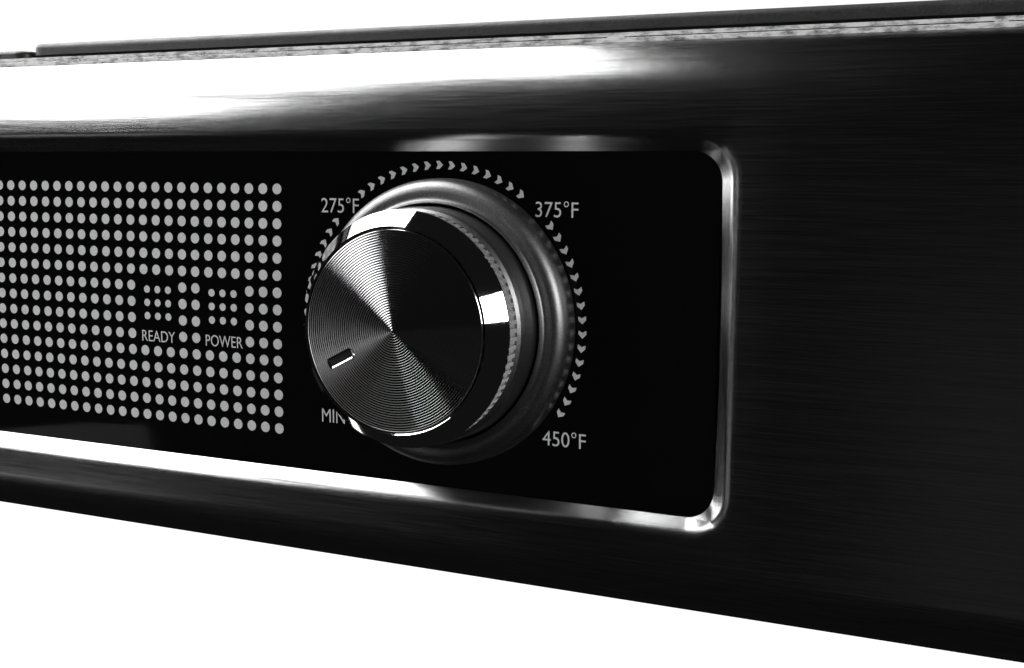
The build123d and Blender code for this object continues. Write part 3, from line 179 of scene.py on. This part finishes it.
class Look:
    """One Principled material with procedural detail in the object's own coordinates."""

    def __init__(self, name, base, metallic=0.0, roughness=0.4):
        self.material = bpy.data.materials.new("look_" + name)
        self.material.use_nodes = True
        self.tree = self.material.node_tree
        self.shader = self.tree.nodes["Principled BSDF"]
        self.set("Base Color", grey(base))
        self.set("Metallic", metallic)
        self.set("Roughness", roughness)
        self.normal = None

    def set(self, socket, value):
        self.shader.inputs[socket].default_value = value
        return self

    def node(self, kind, **values):
        made = self.tree.nodes.new("ShaderNode" + kind)
        for socket, value in values.items():
            made.inputs[socket.replace("_", " ")].default_value = value
        return made

    def places(self, stretch):
        """Object coordinates in millimetres, each axis multiplied by stretch."""
        coordinates = self.node("TexCoord")
        scale = self.node("Mapping", Scale=[1000.0 * s for s in stretch])
        self.tree.links.new(coordinates.outputs["Object"], scale.inputs["Vector"])
        return scale.outputs["Vector"]

    def noise(self, size, stretch=(1, 1, 1), detail=4.0, rough=0.55):
        """Noise whose blobs are about size millimetres, longer along an axis whose stretch is under 1."""
        made = self.node("TexNoise", Scale=1.0 / size, Detail=detail, Roughness=rough)
        self.tree.links.new(self.places(stretch), made.inputs["Vector"])
        return made.outputs["Fac"]

    def cells(self, size):
        """Distance to the middle of cells about size millimetres across."""
        made = self.node("TexVoronoi", Scale=1.0 / size)
        self.tree.links.new(self.places((1, 1, 1)), made.inputs["Vector"])
        return made.outputs["Distance"]

    def ranged(self, source, low, high, start=0.3, end=0.7):
        """source from start..end spread over low..high."""
        made = self.node("MapRange", From_Min=start, From_Max=end, To_Min=low, To_Max=high)
        self.tree.links.new(source, made.inputs["Value"])
        return made.outputs["Result"]

    def vary_roughness(self, source, low, high, start=0.3, end=0.7):
        self.tree.links.new(self.ranged(source, low, high, start, end), self.shader.inputs["Roughness"])
        return self

    def vary_base(self, source, low, high, start=0.3, end=0.7):
        tint = self.node("CombineColor")
        value = self.ranged(source, low, high, start, end)
        for channel in ("Red", "Green", "Blue"):
            self.tree.links.new(value, tint.inputs[channel])
        self.tree.links.new(tint.outputs["Color"], self.shader.inputs["Base Color"])
        return self

    def bump(self, source, height):
        """Relief of height millimetres from source, on top of any relief added before."""
        made = self.node("Bump", Strength=1.0, Distance=height * MM)
        self.tree.links.new(source, made.inputs["Height"])
        if self.normal:
            self.tree.links.new(self.normal, made.inputs["Normal"])
        self.normal = made.outputs["Normal"]
        self.tree.links.new(self.normal, self.shader.inputs["Normal"])
        return self

    def math(self, operation, first, second=0.0):
        made = self.node("Math")
        made.operation = operation
        for socket, value in zip(made.inputs, (first, second)):
            if isinstance(value, float):
                socket.default_value = value
            else:
                self.tree.links.new(value, socket)
        return made.outputs["Value"]

    def draw_round_panel(self):
        """Height that falls softly towards the control panel, where the sheet is drawn in round it."""
        split = self.node("SeparateXYZ")
        self.tree.links.new(self.node("TexCoord").outputs["Object"], split.inputs[0])
        beyond = []
        for axis, near, far in (("X", fascia_low.x, fascia_high.x), ("Z", fascia_low.z, fascia_high.z)):
            away = self.math("SUBTRACT", split.outputs[axis], (near + far) / 2)
            away = self.math("SUBTRACT", self.math("ABSOLUTE", away), (far - near) / 2)
            beyond.append(self.math("MAXIMUM", away, 0.0))
        squares = [self.math("MULTIPLY", value, value) for value in beyond]
        distance = self.math("SQRT", self.math("ADD", squares[0], squares[1]))
        share = self.ranged(distance, 0.0, 1.0, 0.0, DRAW_REACH)
        left = self.math("SUBTRACT", 1.0, share)
        return self.math("SUBTRACT", 1.0, self.math("MULTIPLY", left, left))

    def grain(self, amount):
        """Brushed grain: the highlight spreads across the lines, which run along X."""
        self.set("Anisotropic", amount)
        self.set("Anisotropic Rotation", 0.25)
        line = self.node("CombineXYZ", X=1.0)
        self.tree.links.new(line.outputs[0], self.shader.inputs["Tangent"])
        return self


def brushed(name, base, low, high, amount):
    """Stainless sheet with fine scratches along X, crossed by broad uneven bands from the belt."""
    look = Look(name, base, metallic=1.0)
    lines = look.noise(0.16, stretch=(0.012, 1, 1), detail=6.0, rough=0.7)
    bands = look.noise(3.0, stretch=(0.03, 1, 1), detail=3.0)
    look.vary_base(lines, base * 0.7, base * 1.2)
    look.vary_roughness(lines, low, high)
    look.bump(lines, 0.010).bump(bands, 0.0015)
    return look.grain(amount)


def make_looks():
    """One look for each material slot of the record, and a few more for the pieces made here."""
    looks = {}
    steel = brushed("steel", 0.5, 0.15, 0.23, 0.65)
    looks["steel"] = steel.bump(steel.draw_round_panel(), DRAW_RELIEF)
    looks["deck_steel"] = brushed("deck_steel", 0.55, 0.2, 0.3, 0.6)
    looks["tray_metal"] = brushed("tray_metal", 0.50, 0.30, 0.42, 0.5)

    fascia = Look("fascia", 0.0012, roughness=0.04)
    fascia.vary_roughness(fascia.noise(22.0, detail=5.0), 0.03, 0.06)
    looks["fascia"] = fascia.set("IOR", 1.33)

    torn = Look("torn_edge", 0.42, metallic=0.3, roughness=0.55)
    pits = torn.noise(0.9, stretch=(0.35, 1, 1), detail=5.0, rough=0.7)
    torn.vary_base(pits, 0.10, 0.52, 0.36, 0.56)
    looks["torn_edge"] = torn.bump(pits, 0.05)

    coat = Look("nonstick", 0.03, roughness=0.4)
    speck = coat.noise(0.35, detail=5.0, rough=0.65)
    coat.vary_base(speck, 0.010, 0.035)
    coat.vary_roughness(coat.noise(4.0), 0.34, 0.5)
    looks["nonstick"] = coat.bump(speck, 0.05).bump(coat.noise(2.5), 0.05)

    disc = Look("spun_aluminium", 0.62, metallic=1.0, roughness=0.14)
    looks["spun_aluminium"] = disc.vary_roughness(disc.noise(0.3, detail=3.0), 0.06, 0.11)

    flank = Look("groove_flank", 0.5, metallic=1.0, roughness=0.45)
    looks["groove_flank"] = flank.vary_roughness(flank.noise(0.2, detail=2.0), 0.38, 0.5)

    chrome = Look("chrome", 0.88, metallic=1.0, roughness=0.04)
    looks["chrome"] = chrome.vary_roughness(chrome.noise(6.0), 0.02, 0.06)

    core = Look("knob_core", 0.34, metallic=0.25, roughness=0.3)
    looks["knob_core"] = core.vary_roughness(core.noise(0.5), 0.2, 0.36)

    satin = Look("satin_metal", 0.24, metallic=1.0, roughness=0.38)
    fine = satin.noise(0.22, detail=5.0, rough=0.7)
    satin.vary_base(fine, 0.17, 0.40)
    satin.vary_roughness(fine, 0.34, 0.46)
    looks["satin_metal"] = satin.bump(fine, 0.012).bump(satin.noise(1.4), 0.01)

    plastic = Look("black_plastic", 0.014, roughness=0.42)
    grain = plastic.noise(0.5, detail=5.0, rough=0.6)
    plastic.vary_roughness(grain, 0.34, 0.52)
    plastic.vary_base(plastic.noise(18.0), 0.011, 0.018)
    looks["black_plastic"] = plastic.bump(plastic.cells(0.7), 0.05).bump(grain, 0.03)

    powder = Look("black_steel", 0.03, roughness=0.55)
    orange = powder.noise(0.8, detail=4.0)
    powder.vary_base(powder.noise(14.0), 0.022, 0.04)
    looks["black_steel"] = powder.vary_roughness(orange, 0.45, 0.65).bump(orange, 0.08)

    rubber = Look("rubber", 0.02, roughness=0.8)
    rubber.vary_base(rubber.noise(3.0), 0.016, 0.035)
    looks["rubber"] = rubber.vary_roughness(rubber.noise(0.6), 0.7, 0.9).bump(rubber.noise(0.4), 0.03)

    # near-black seal look: the seal ring under each plate's rim is a real part, made this dark to paint the
    # shadow gap beneath the rim (painted shade); the pointer slot's floor takes this look too
    seal = Look("seal", 0.004, roughness=0.7)
    looks["seal"] = seal.vary_roughness(seal.noise(1.0), 0.6, 0.8).bump(seal.noise(0.5), 0.02)

    looks["element_sheath"] = scaled_metal("element_sheath", 0.16, 0.34, 0.5, 6.0)
    looks["reflector"] = scaled_metal("reflector", 0.66, 0.2, 0.34, 24.0)
    looks["zinc"] = scaled_metal("zinc", 0.52, 0.28, 0.42, 1.2)
    brass = scaled_metal("brass", 0.5, 0.2, 0.32, 2.0)
    looks["brass"] = brass.set("Specular Tint", BRASS_TINT)
    looks["shaft_steel"] = scaled_metal("shaft_steel", 0.6, 0.22, 0.34, 1.0)

    ceramic = Look("ceramic", 0.7, roughness=0.55)
    looks["ceramic"] = ceramic.vary_base(ceramic.noise(2.0), 0.62, 0.78).bump(ceramic.noise(0.3), 0.02)

    clear = Look("clear_plastic", 0.8, roughness=0.12)
    clear.set("Transmission Weight", 0.9).set("IOR", 1.49)
    looks["clear_plastic"] = clear.vary_roughness(clear.noise(2.0), 0.08, 0.18)

    lamp = Look("lamp", 0.5, roughness=0.2)
    looks["lamp"] = lamp.set("Transmission Weight", 0.4).vary_roughness(lamp.noise(1.0), 0.15, 0.3)

    board = Look("board", 0.05, roughness=0.4)
    looks["board"] = board.vary_base(board.noise(1.2, stretch=(1, 1, 0.2)), 0.035, 0.07)

    wire = Look("wire", 0.08, roughness=0.45)
    looks["wire"] = wire.vary_base(wire.noise(2.0), 0.06, 0.1).bump(wire.noise(0.4), 0.02)

    ink = Look("ink", 0.30, roughness=0.5)
    looks["ink"] = ink.vary_base(ink.noise(0.35, detail=3.0), 0.22, 0.30).bump(ink.noise(0.15), 0.004)
    return looks


def scaled_metal(name, base, low, high, size):
    """Plain metal with mottling of size millimetres."""
    look = Look(name, base, metallic=1.0)
    mottle = look.noise(size, detail=5.0)
    look.vary_base(mottle, base * 0.85, base * 1.1)
    look.vary_roughness(mottle, low, high)
    return look.bump(look.noise(size / 6), 0.01)


def dress_nodes(looks):
    """Gives each CAD node's slots the look of the same name."""
    for node in NODES.values():
        for slot in node.material_slots:
            slot.material = looks[slot.material.name].material


# ================================================================ building pieces

SHARP_ANGLE = math.radians(30.0)


def make_piece(name, vertices, faces, look, body, smooth=False):
    """New piece that rides on body and takes its finish from look; smooth shading stops at sharp edges."""
    mesh = bpy.data.meshes.new(name)
    mesh.from_pydata(vertices, [], faces)
    mesh.update()
    mesh.polygons.foreach_set("use_smooth", [smooth] * len(mesh.polygons))
    mesh.set_sharp_from_angle(angle=SHARP_ANGLE)
    mesh.materials.append(look.material)
    piece = bpy.data.objects.new(name, mesh)
    bpy.context.scene.collection.objects.link(piece)
    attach(piece, body)
    return piece


def tree_of(name):
    """Search tree over the faces of a CAD node."""
    node = NODES[name]
    corners = [v.co.copy() for v in node.data.vertices]
    return BVHTree.FromPolygons(corners, [tuple(p.vertices) for p in node.data.polygons])


class Print:
    """Flat shapes of ink that lie on the control panel's bowed face."""

    THICKNESS = 0.02 * MM
    LAYERS = (1.0, -0.5)
    RAY_START = 0.05

    def __init__(self):
        self.panel = tree_of("control_fascia")
        self.vertices = []
        self.faces = []

    def on_panel(self, x, z):
        """Point of the panel's face at x, z millimetres from the knob's axis."""
        start = Vector((AXIS_X + x * MM, CREST_Y - self.RAY_START, AXIS_Z + z * MM))
        return self.panel.ray_cast(start, Vector((0, 1, 0)))[0]

    def lay(self, points):
        """Adds (x, z) millimetres twice, just in front of the panel's face and just behind it."""
        for layer in self.LAYERS:
            for x, z in points:
                self.vertices.append(self.on_panel(x, z) - Vector((0, self.THICKNESS * layer, 0)))

    def shape(self, outline, faces=None):
        """Adds one closed outline of (x, z) millimetres, as a thin plate with a front and an edge."""
        first = len(self.vertices)
        count = len(outline)
        self.lay(outline)
        for face in faces or [tuple(range(count))]:
            self.faces.append(tuple(first + i for i in face))
        for i in range(count):
            after = (i + 1) % count
            self.faces.append((first + i, first + count + i, first + count + after, first + after))

    def finish(self, name, look):
        return make_piece(name, self.vertices, self.faces, look, "housing")


# ---- printed dots: the panel's grid, with the rows of a lamp window and its word left out twice ----
# lengths are millimetres from the knob's axis
GRID_PITCH = 3.2
GRID_RIGHT = -35.8
GRID_LIFT = 0.2
GRID_COLUMNS = 76
GRID_ROWS = 15
DOT_RADIUS = 1.0
DOT_SIDES = 18
CLEARED_ROWS = (6, 7, 8, 9)
CLEARED_COLUMNS = (3, 4, 5, 8, 9, 10)
LAMP_PITCH = 2.62
LAMP_RADIUS = 0.74
LAMP_LIFT = 0.1
LAMP_SIDES = 14
READY_X = -64.4
POWER_X = -48.5


def ring(x, z, radius, sides):
    turns = [2 * math.pi * i / sides for i in range(sides)]
    return [(x + radius * math.cos(t), z + radius * math.sin(t)) for t in turns]


def print_dots(looks):
    sheet = Print()
    middle = (GRID_ROWS - 1) / 2
    for column in range(GRID_COLUMNS):
        for row in range(GRID_ROWS):
            if row in CLEARED_ROWS and column in CLEARED_COLUMNS:
                continue
            x = GRID_RIGHT - column * GRID_PITCH
            z = GRID_LIFT + (middle - row) * GRID_PITCH
            sheet.shape(ring(x, z, DOT_RADIUS, DOT_SIDES))
    sheet.finish("printed_dots", looks["ink"])
    for name, centre in (("ready_window_dots", READY_X), ("power_window_dots", POWER_X)):
        window = Print()
        for across in (-1, 0, 1):
            for up in (-1, 0, 1):
                x = centre + across * LAMP_PITCH
                z = LAMP_LIFT + up * LAMP_PITCH
                window.shape(ring(x, z, LAMP_RADIUS, LAMP_SIDES))
        window.finish(name, looks["ink"])


# ---- temperature scale: arrowheads round the bezel, in three runs between the labels ----
SCALE_RADIUS = 27.4
SCALE_CENTRE = (-1.4, -0.3)
SCALE_STEP = 5.01
SCALE_RUNS = (125.2, 39.2, 211.0)
SCALE_COUNT = 15
ARROW = [(-0.68, 0.70), (-0.02, 0.70), (0.68, 0.0), (-0.02, -0.70), (-0.68, -0.70), (-0.33, 0.0)]


def print_scale(looks):
    """Arrowheads pointing clockwise, towards the hotter end."""
    sheet = Print()
    for start in SCALE_RUNS:
        for step in range(SCALE_COUNT):
            turn = math.radians(start - step * SCALE_STEP)
            out = (math.cos(turn), math.sin(turn))
            ahead = (math.sin(turn), -math.cos(turn))
            outline = []
            for along, across in ARROW:
                x = SCALE_CENTRE[0] + (SCALE_RADIUS + across) * out[0] + along * ahead[0]
                z = SCALE_CENTRE[1] + (SCALE_RADIUS + across) * out[1] + along * ahead[1]
                outline.append((x, z))
            sheet.shape(outline, [(0, 1, 2, 5), (5, 2, 3, 4)])
    sheet.finish("printed_scale", looks["ink"])


# ---- printed words: text, left edge, base line and capital height in millimetres, share of full width ----
CAPITAL = 0.729
LETTER_THINNING = -0.003
LETTER_CURVE_STEPS = 6
WORDS = {
    "label_min": ("MIN", -26.3, -20.0, 2.65, 0.83),
    "label_275": ("275°F", -26.1, 18.5, 2.75, 0.93),
    "label_375": ("375°F", 16.8, 18.55, 2.7, 0.93),
    "label_450": ("450°F", 18.8, -20.0, 2.7, 0.93),
    "label_ready": ("READY", -68.7, -7.55, 2.3, 0.86),
    "label_power": ("POWER", -52.9, -7.55, 2.3, 0.82),
}


def print_words(looks):
    for name, (text, left, base, height, width) in WORDS.items():
        data = bpy.data.curves.new(name, "FONT")
        data.body = text
        data.resolution_u = LETTER_CURVE_STEPS
        data.offset = LETTER_THINNING
        draft = bpy.data.objects.new(name + "_draft", data)
        bpy.context.scene.collection.objects.link(draft)
        bpy.context.view_layer.update()
        flat = bpy.data.meshes.new_from_object(draft.evaluated_get(bpy.context.evaluated_depsgraph_get()))
        bpy.data.objects.remove(draft)
        scale = height / CAPITAL
        points = [(left + v.co.x * scale * width, base + v.co.y * scale) for v in flat.vertices]
        count = len(points)
        sheet = Print()
        sheet.lay(points)
        sheet.faces = [tuple(p.vertices) for p in flat.polygons]
        sheet.faces += [(a, count + a, count + b, b) for a, b in open_edges_of(flat)]
        sheet.finish(name, looks["ink"])


def open_edges_of(mesh):
    """Edges of the mesh that only one face uses, as pairs of vertices."""
    uses = {}
    for face in mesh.polygons:
        for a, b in face.edge_keys:
            uses[(a, b)] = uses.get((a, b), 0) + 1
    return [pair for pair, count in uses.items() if count == 1]


# ================================================================ knob face

FACE_RADIUS = (face_high.x - face_low.x) / 2
GROOVES = 40
GROOVE_DEPTH = 0.094 * MM
FACE_EDGE = 0.08 * MM
# one groove from its inner edge outwards: share of the pitch, share of the depth
GROOVE_PROFILE = (
    (0.0, 0.0), (0.18, 0.041), (0.36, 0.166), (0.53, 0.36), (0.70, 0.627), (0.885, 0.985), (0.92, 0.93),
)
LATHE_SIDES = 200
POLE_RADIUS = 1e-9
POINTER_TURN = math.radians(207.0)
POINTER_RADIUS = 11.3 * MM
POINTER_LENGTH = 5.3 * MM
POINTER_WIDTH = 1.9 * MM
POINTER_CORNER = 0.5 * MM
SLOT_STEPS = 5
SLOT_CUT = (-1 * MM, 3 * MM)
# the chamfer's section: growth of the outline and depth behind the disc's front, in millimetres
POINTER_SECTION = ((0.02, 0.0), (0.02, -0.02), (-0.02, -0.02), (-0.36, 0.125), (-0.36, 0.5), (0.02, 0.5))
POINTER_FLOOR_GROW = -0.02 * MM
POINTER_FLOOR_DEPTHS = (0.45 * MM, 1.0 * MM)
# faces whose normal points inwards by more than this take the rougher flank look
INNER_FLANK = -0.6


def make_knob_face(looks):
    """The turned disc: concentric grooves with a long outer flank and a short inner one."""
    front = face_low.y
    pitch = FACE_RADIUS / GROOVES
    profile = [(0.0, 0.0)]
    for groove in range(GROOVES):
        for share, depth in GROOVE_PROFILE:
            radius = (groove + share) * pitch
            if 0 < radius < FACE_RADIUS - FACE_EDGE:
                profile.append((radius, depth * GROOVE_DEPTH))
    thick = face_high.y - face_low.y
    profile += [(FACE_RADIUS - FACE_EDGE, 0.0), (FACE_RADIUS, FACE_EDGE)]
    profile += [(FACE_RADIUS, thick), (0.0, thick)]
    vertices, faces = lathe(profile, front)
    spun = looks["spun_aluminium"]
    disc = make_piece("knob_face_grooves", vertices, faces, spun, "knob", True)
    disc.data.materials.append(looks["groove_flank"].material)
    for face in disc.data.polygons:
        outward = Vector((face.center.x - AXIS_X, 0.0, face.center.z - AXIS_Z)).normalized()
        if face.normal.dot(outward) < INNER_FLANK:
            face.material_index = 1
    cut_slot(disc, front)
    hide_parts("knob_face")
    make_pointer_edge(looks, front)


def rounded_outline(half_u, half_v, corner, steps):
    """Rectangle of half sizes half_u and half_v with rounded corners, as (u, v) points."""
    points = []
    for right, up, start in ((1, 1, 0), (-1, 1, 90), (-1, -1, 180), (1, -1, 270)):
        for step in range(steps + 1):
            turn = math.radians(start + 90 * step / steps)
            u = right * (half_u - corner) + corner * math.cos(turn)
            v = up * (half_v - corner) + corner * math.sin(turn)
            points.append((u, v))
    return points


def slot_outline(grow):
    """Rounded slot outline in x, z, the pointer's size grown by grow on every side."""
    half = POINTER_LENGTH / 2 + grow
    tall = POINTER_WIDTH / 2 + grow
    corner = min(POINTER_CORNER + grow, tall)
    along = Vector((math.cos(POINTER_TURN), math.sin(POINTER_TURN)))
    across = Vector((-along.y, along.x))
    points = []
    for u, v in rounded_outline(half, tall, corner, SLOT_STEPS):
        spot = along * (POINTER_RADIUS + u) + across * v
        points.append((AXIS_X + spot.x, AXIS_Z + spot.y))
    return points


def prism(outline, near, far):
    """Closed prism over an (x, z) outline, from near to far along Y."""
    count = len(outline)
    vertices = [(x, y, z) for y in (near, far) for x, z in outline]
    faces = [tuple(range(count)), tuple(range(2 * count - 1, count - 1, -1))]
    faces += [(i, i + count, (i + 1) % count + count, (i + 1) % count) for i in range(count)]
    return vertices, faces


def cut_slot(disc, front):
    """Cuts the pointer's slot through the disc."""
    vertices, faces = prism(slot_outline(0.0), front + SLOT_CUT[0], front + SLOT_CUT[1])
    mesh = bpy.data.meshes.new("slot_cutter")
    mesh.from_pydata(vertices, [], faces)
    tool = bmesh.new()
    tool.from_mesh(mesh)
    bmesh.ops.recalc_face_normals(tool, faces=tool.faces)
    tool.to_mesh(mesh)
    tool.free()
    cutter = bpy.data.objects.new("slot_cutter", mesh)
    bpy.context.scene.collection.objects.link(cutter)
    change = disc.modifiers.new("slot", "BOOLEAN")
    change.operation = "DIFFERENCE"
    change.solver = "EXACT"
    change.object = cutter
    bpy.context.view_layer.update()
    cut = bpy.data.meshes.new_from_object(disc.evaluated_get(bpy.context.evaluated_depsgraph_get()))
    disc.modifiers.clear()
    disc.data = cut
    bpy.data.objects.remove(cutter)


def make_pointer_edge(looks, front):
    """Polished chamfer round the pointer's slot, and the dark floor of the slot."""
    rings = []
    for grow, depth in POINTER_SECTION:
        rings.append([(x, front + depth * MM, z) for x, z in slot_outline(grow * MM)])
    count = len(rings[0])
    vertices = [corner for ring_points in rings for corner in ring_points]
    faces = []
    for step in range(len(rings)):
        here, there = step * count, (step + 1) % len(rings) * count
        for i in range(count):
            after = (i + 1) % count
            faces.append((here + i, here + after, there + after, there + i))
    make_piece("pointer_edge", vertices, faces, looks["chrome"], "knob")
    near, far = POINTER_FLOOR_DEPTHS
    vertices, faces = prism(slot_outline(POINTER_FLOOR_GROW), front + near, front + far)
    floor = make_piece("pointer_floor", vertices, faces, looks["seal"], "knob")
    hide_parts("knob_pointer")


def lathe(profile, front):
    """Turns (radius, depth behind front) round the knob's axis.

    Radius 0 at both ends makes poles; a profile without poles is closed into a ring.
    """
    vertices, rows = [], []
    for radius, depth in profile:
        first = len(vertices)
        if radius < POLE_RADIUS:
            vertices.append((AXIS_X, front + depth, AXIS_Z))
        else:
            for side in range(LATHE_SIDES):
                turn = 2 * math.pi * side / LATHE_SIDES
                x = AXIS_X + radius * math.cos(turn)
                z = AXIS_Z + radius * math.sin(turn)
                vertices.append((x, front + depth, z))
        rows.append(range(first, len(vertices)))
    faces = []
    pairs = list(zip(rows, rows[1:]))
    if len(rows[0]) > 1:
        pairs.append((rows[-1], rows[0]))
    for inner, outer in pairs:
        for side in range(LATHE_SIDES):
            after = (side + 1) % LATHE_SIDES
            if len(inner) == 1:
                faces.append((inner[0], outer[side], outer[after]))
            elif len(outer) == 1:
                faces.append((inner[side], outer[0], inner[after]))
            else:
                faces.append((inner[side], outer[side], outer[after], inner[after]))
    return vertices, faces


# ================================================================ border stamped round the panel

BORDER_SLOPE = math.radians(34.0)
BORDER_FLAT = 1.7 * MM
BORDER_WIDE = 3.7 * MM
BORDER_STEPS = 16
BORDER_PROUD = 0.008 * MM
PANEL_CORNER = 4.7 * MM
CORNER_STEPS = 14
BORDER_BACK = 0.3 * MM


def border_profile():
    """Steps outwards from the panel's edge as (distance, depth): a slope that rolls into the flat face."""
    stations = [BORDER_WIDE * step / BORDER_STEPS for step in range(BORDER_STEPS + 1)]
    depths = [-BORDER_PROUD]
    for near, away in zip(reversed(stations[:-1]), reversed(stations[1:])):
        middle = (near + away) / 2
        share = min(1.0, (BORDER_WIDE - middle) / (BORDER_WIDE - BORDER_FLAT))
        depths.append(depths[-1] + (away - near) * math.tan(BORDER_SLOPE * share))
    return list(zip(stations, reversed(depths)))


def panel_outline(grow):
    """The control panel's outline grown evenly, as (x, z) points all the way round."""
    half_x = (fascia_high.x - fascia_low.x) / 2 + grow
    half_z = (fascia_high.z - fascia_low.z) / 2 + grow
    middle_x = (fascia_high.x + fascia_low.x) / 2
    middle_z = (fascia_high.z + fascia_low.z) / 2
    outline = rounded_outline(half_x, half_z, PANEL_CORNER + grow, CORNER_STEPS)
    return [(middle_x + x, middle_z + z) for x, z in outline]


def make_border(looks):
    """Smooth border of the pocket the control panel sits in."""
    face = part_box("front_panel")[0].y
    rings = []
    for grow, depth in border_profile():
        rings.append([(x, face + depth, z) for x, z in panel_outline(grow)])
    back = [[(x, y + BORDER_BACK, z) for x, y, z in points] for points in reversed(rings)]
    loops = rings + back
    count = len(rings[0])
    vertices = [corner for points in loops for corner in points]
    faces = []
    for step in range(len(loops)):
        here, there = step * count, (step + 1) % len(loops) * count
        for i in range(count):
            after = (i + 1) % count
            faces.append((here + i, there + i, there + after, here + after))
    make_piece("panel_border", vertices, faces, looks["steel"], "housing", True)


# ================================================================ bezel round the knob

# radius and height above the panel's crest, in millimetres
BEZEL_PROFILE = (
    (20.62, 0.3), (20.62, 5.35), (20.66, 5.46), (20.76, 5.50), (20.88, 5.46), (20.98, 5.30), (21.10, 5.02),
    (21.30, 4.86), (21.60, 4.80), (22.00, 4.84), (22.40, 4.88), (22.75, 4.88), (23.08, 4.82), (23.40, 4.70),
    (23.70, 4.52), (23.98, 4.28), (24.22, 4.00), (24.42, 3.68), (24.58, 3.32), (24.70, 2.92), (24.78, 2.50),
    (24.82, 2.00), (24.84, 1.20), (24.84, 0.3),
)


def make_bezel(looks):
    """Ring round the knob: a thin bright lip inside, a hollow, then one broad rounded shoulder.

    Known fault: it rides on "knob", and the node that it stands for is on "housing".
    """
    profile = [(radius * MM, -height * MM) for radius, height in BEZEL_PROFILE]
    vertices, faces = lathe(profile, CREST_Y)
    satin = looks["satin_metal"]
    bezel = make_piece("bezel_ring", vertices, faces, satin, "knob", True)
    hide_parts("knob_bezel")


# ================================================================ sheared edge of the deck

EDGE_STEP = 0.3 * MM
EDGE_ROWS = 9
EDGE_RELIEF = 0.05 * MM
EDGE_LIFT = 0.08 * MM
EDGE_BACK = 0.6 * MM
EDGE_TORN_ROW = 5
WAVE_LENGTH = 3.1 * MM
WAVE_SHARE = 0.35
TEAR_LENGTH = 1.3 * MM
TEAR_SHARE = 0.45
BREAK_LENGTH = 6.0 * MM
BREAK_LEVEL = -0.25


def make_deck_edge(looks):
    """Front edge of the deck sheet as it is left by the shears: a burnished band, a torn line, burrs."""
    low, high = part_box("top_frame")
    columns = int((high.x - low.x) / EDGE_STEP)
    vertices, faces = [], []
    around = EDGE_ROWS + 3
    for column in range(columns + 1):
        x = low.x + (high.x - low.x) * column / columns
        vertices.append((x, low.y + EDGE_BACK, low.z))
        for row in range(EDGE_ROWS + 1):
            share = row / EDGE_ROWS
            wave = noise.noise(Vector((x / WAVE_LENGTH, share * 2.0, 0.0)))
            tear = noise.noise(Vector((x / TEAR_LENGTH, share * 5.0, 7.0)))
            out = EDGE_LIFT + EDGE_RELIEF * (WAVE_SHARE * wave + TEAR_SHARE * tear)
            torn = noise.noise(Vector((x / BREAK_LENGTH, 3.0, 0.0))) > BREAK_LEVEL
            if row == EDGE_TORN_ROW and torn:
                out -= EDGE_LIFT + EDGE_RELIEF
            rise = low.z + (high.z - low.z) * share
            vertices.append((x, low.y - out, rise))
        vertices.append((x, low.y + EDGE_BACK, high.z))
    for column in range(columns):
        here, there = column * around, (column + 1) * around
        for row in range(around):
            after = (row + 1) % around
            faces.append((here + row, there + row, there + after, here + after))
    faces.append(tuple(range(around)))
    faces.append(tuple(columns * around + i for i in reversed(range(around))))
    torn_look = looks["torn_edge"]
    make_piece("deck_sheared_edge", vertices, faces, torn_look, "housing", True)


# ================================================================ the model

make_camera()
make_world()
make_lights()
make_floor()
bpy.context.scene.view_settings.view_transform = "Standard"
looks = make_looks()
dress_nodes(looks)
print_dots(looks)
print_scale(looks)
print_words(looks)
make_knob_face(looks)
make_bezel(looks)
make_border(looks)
make_deck_edge(looks)
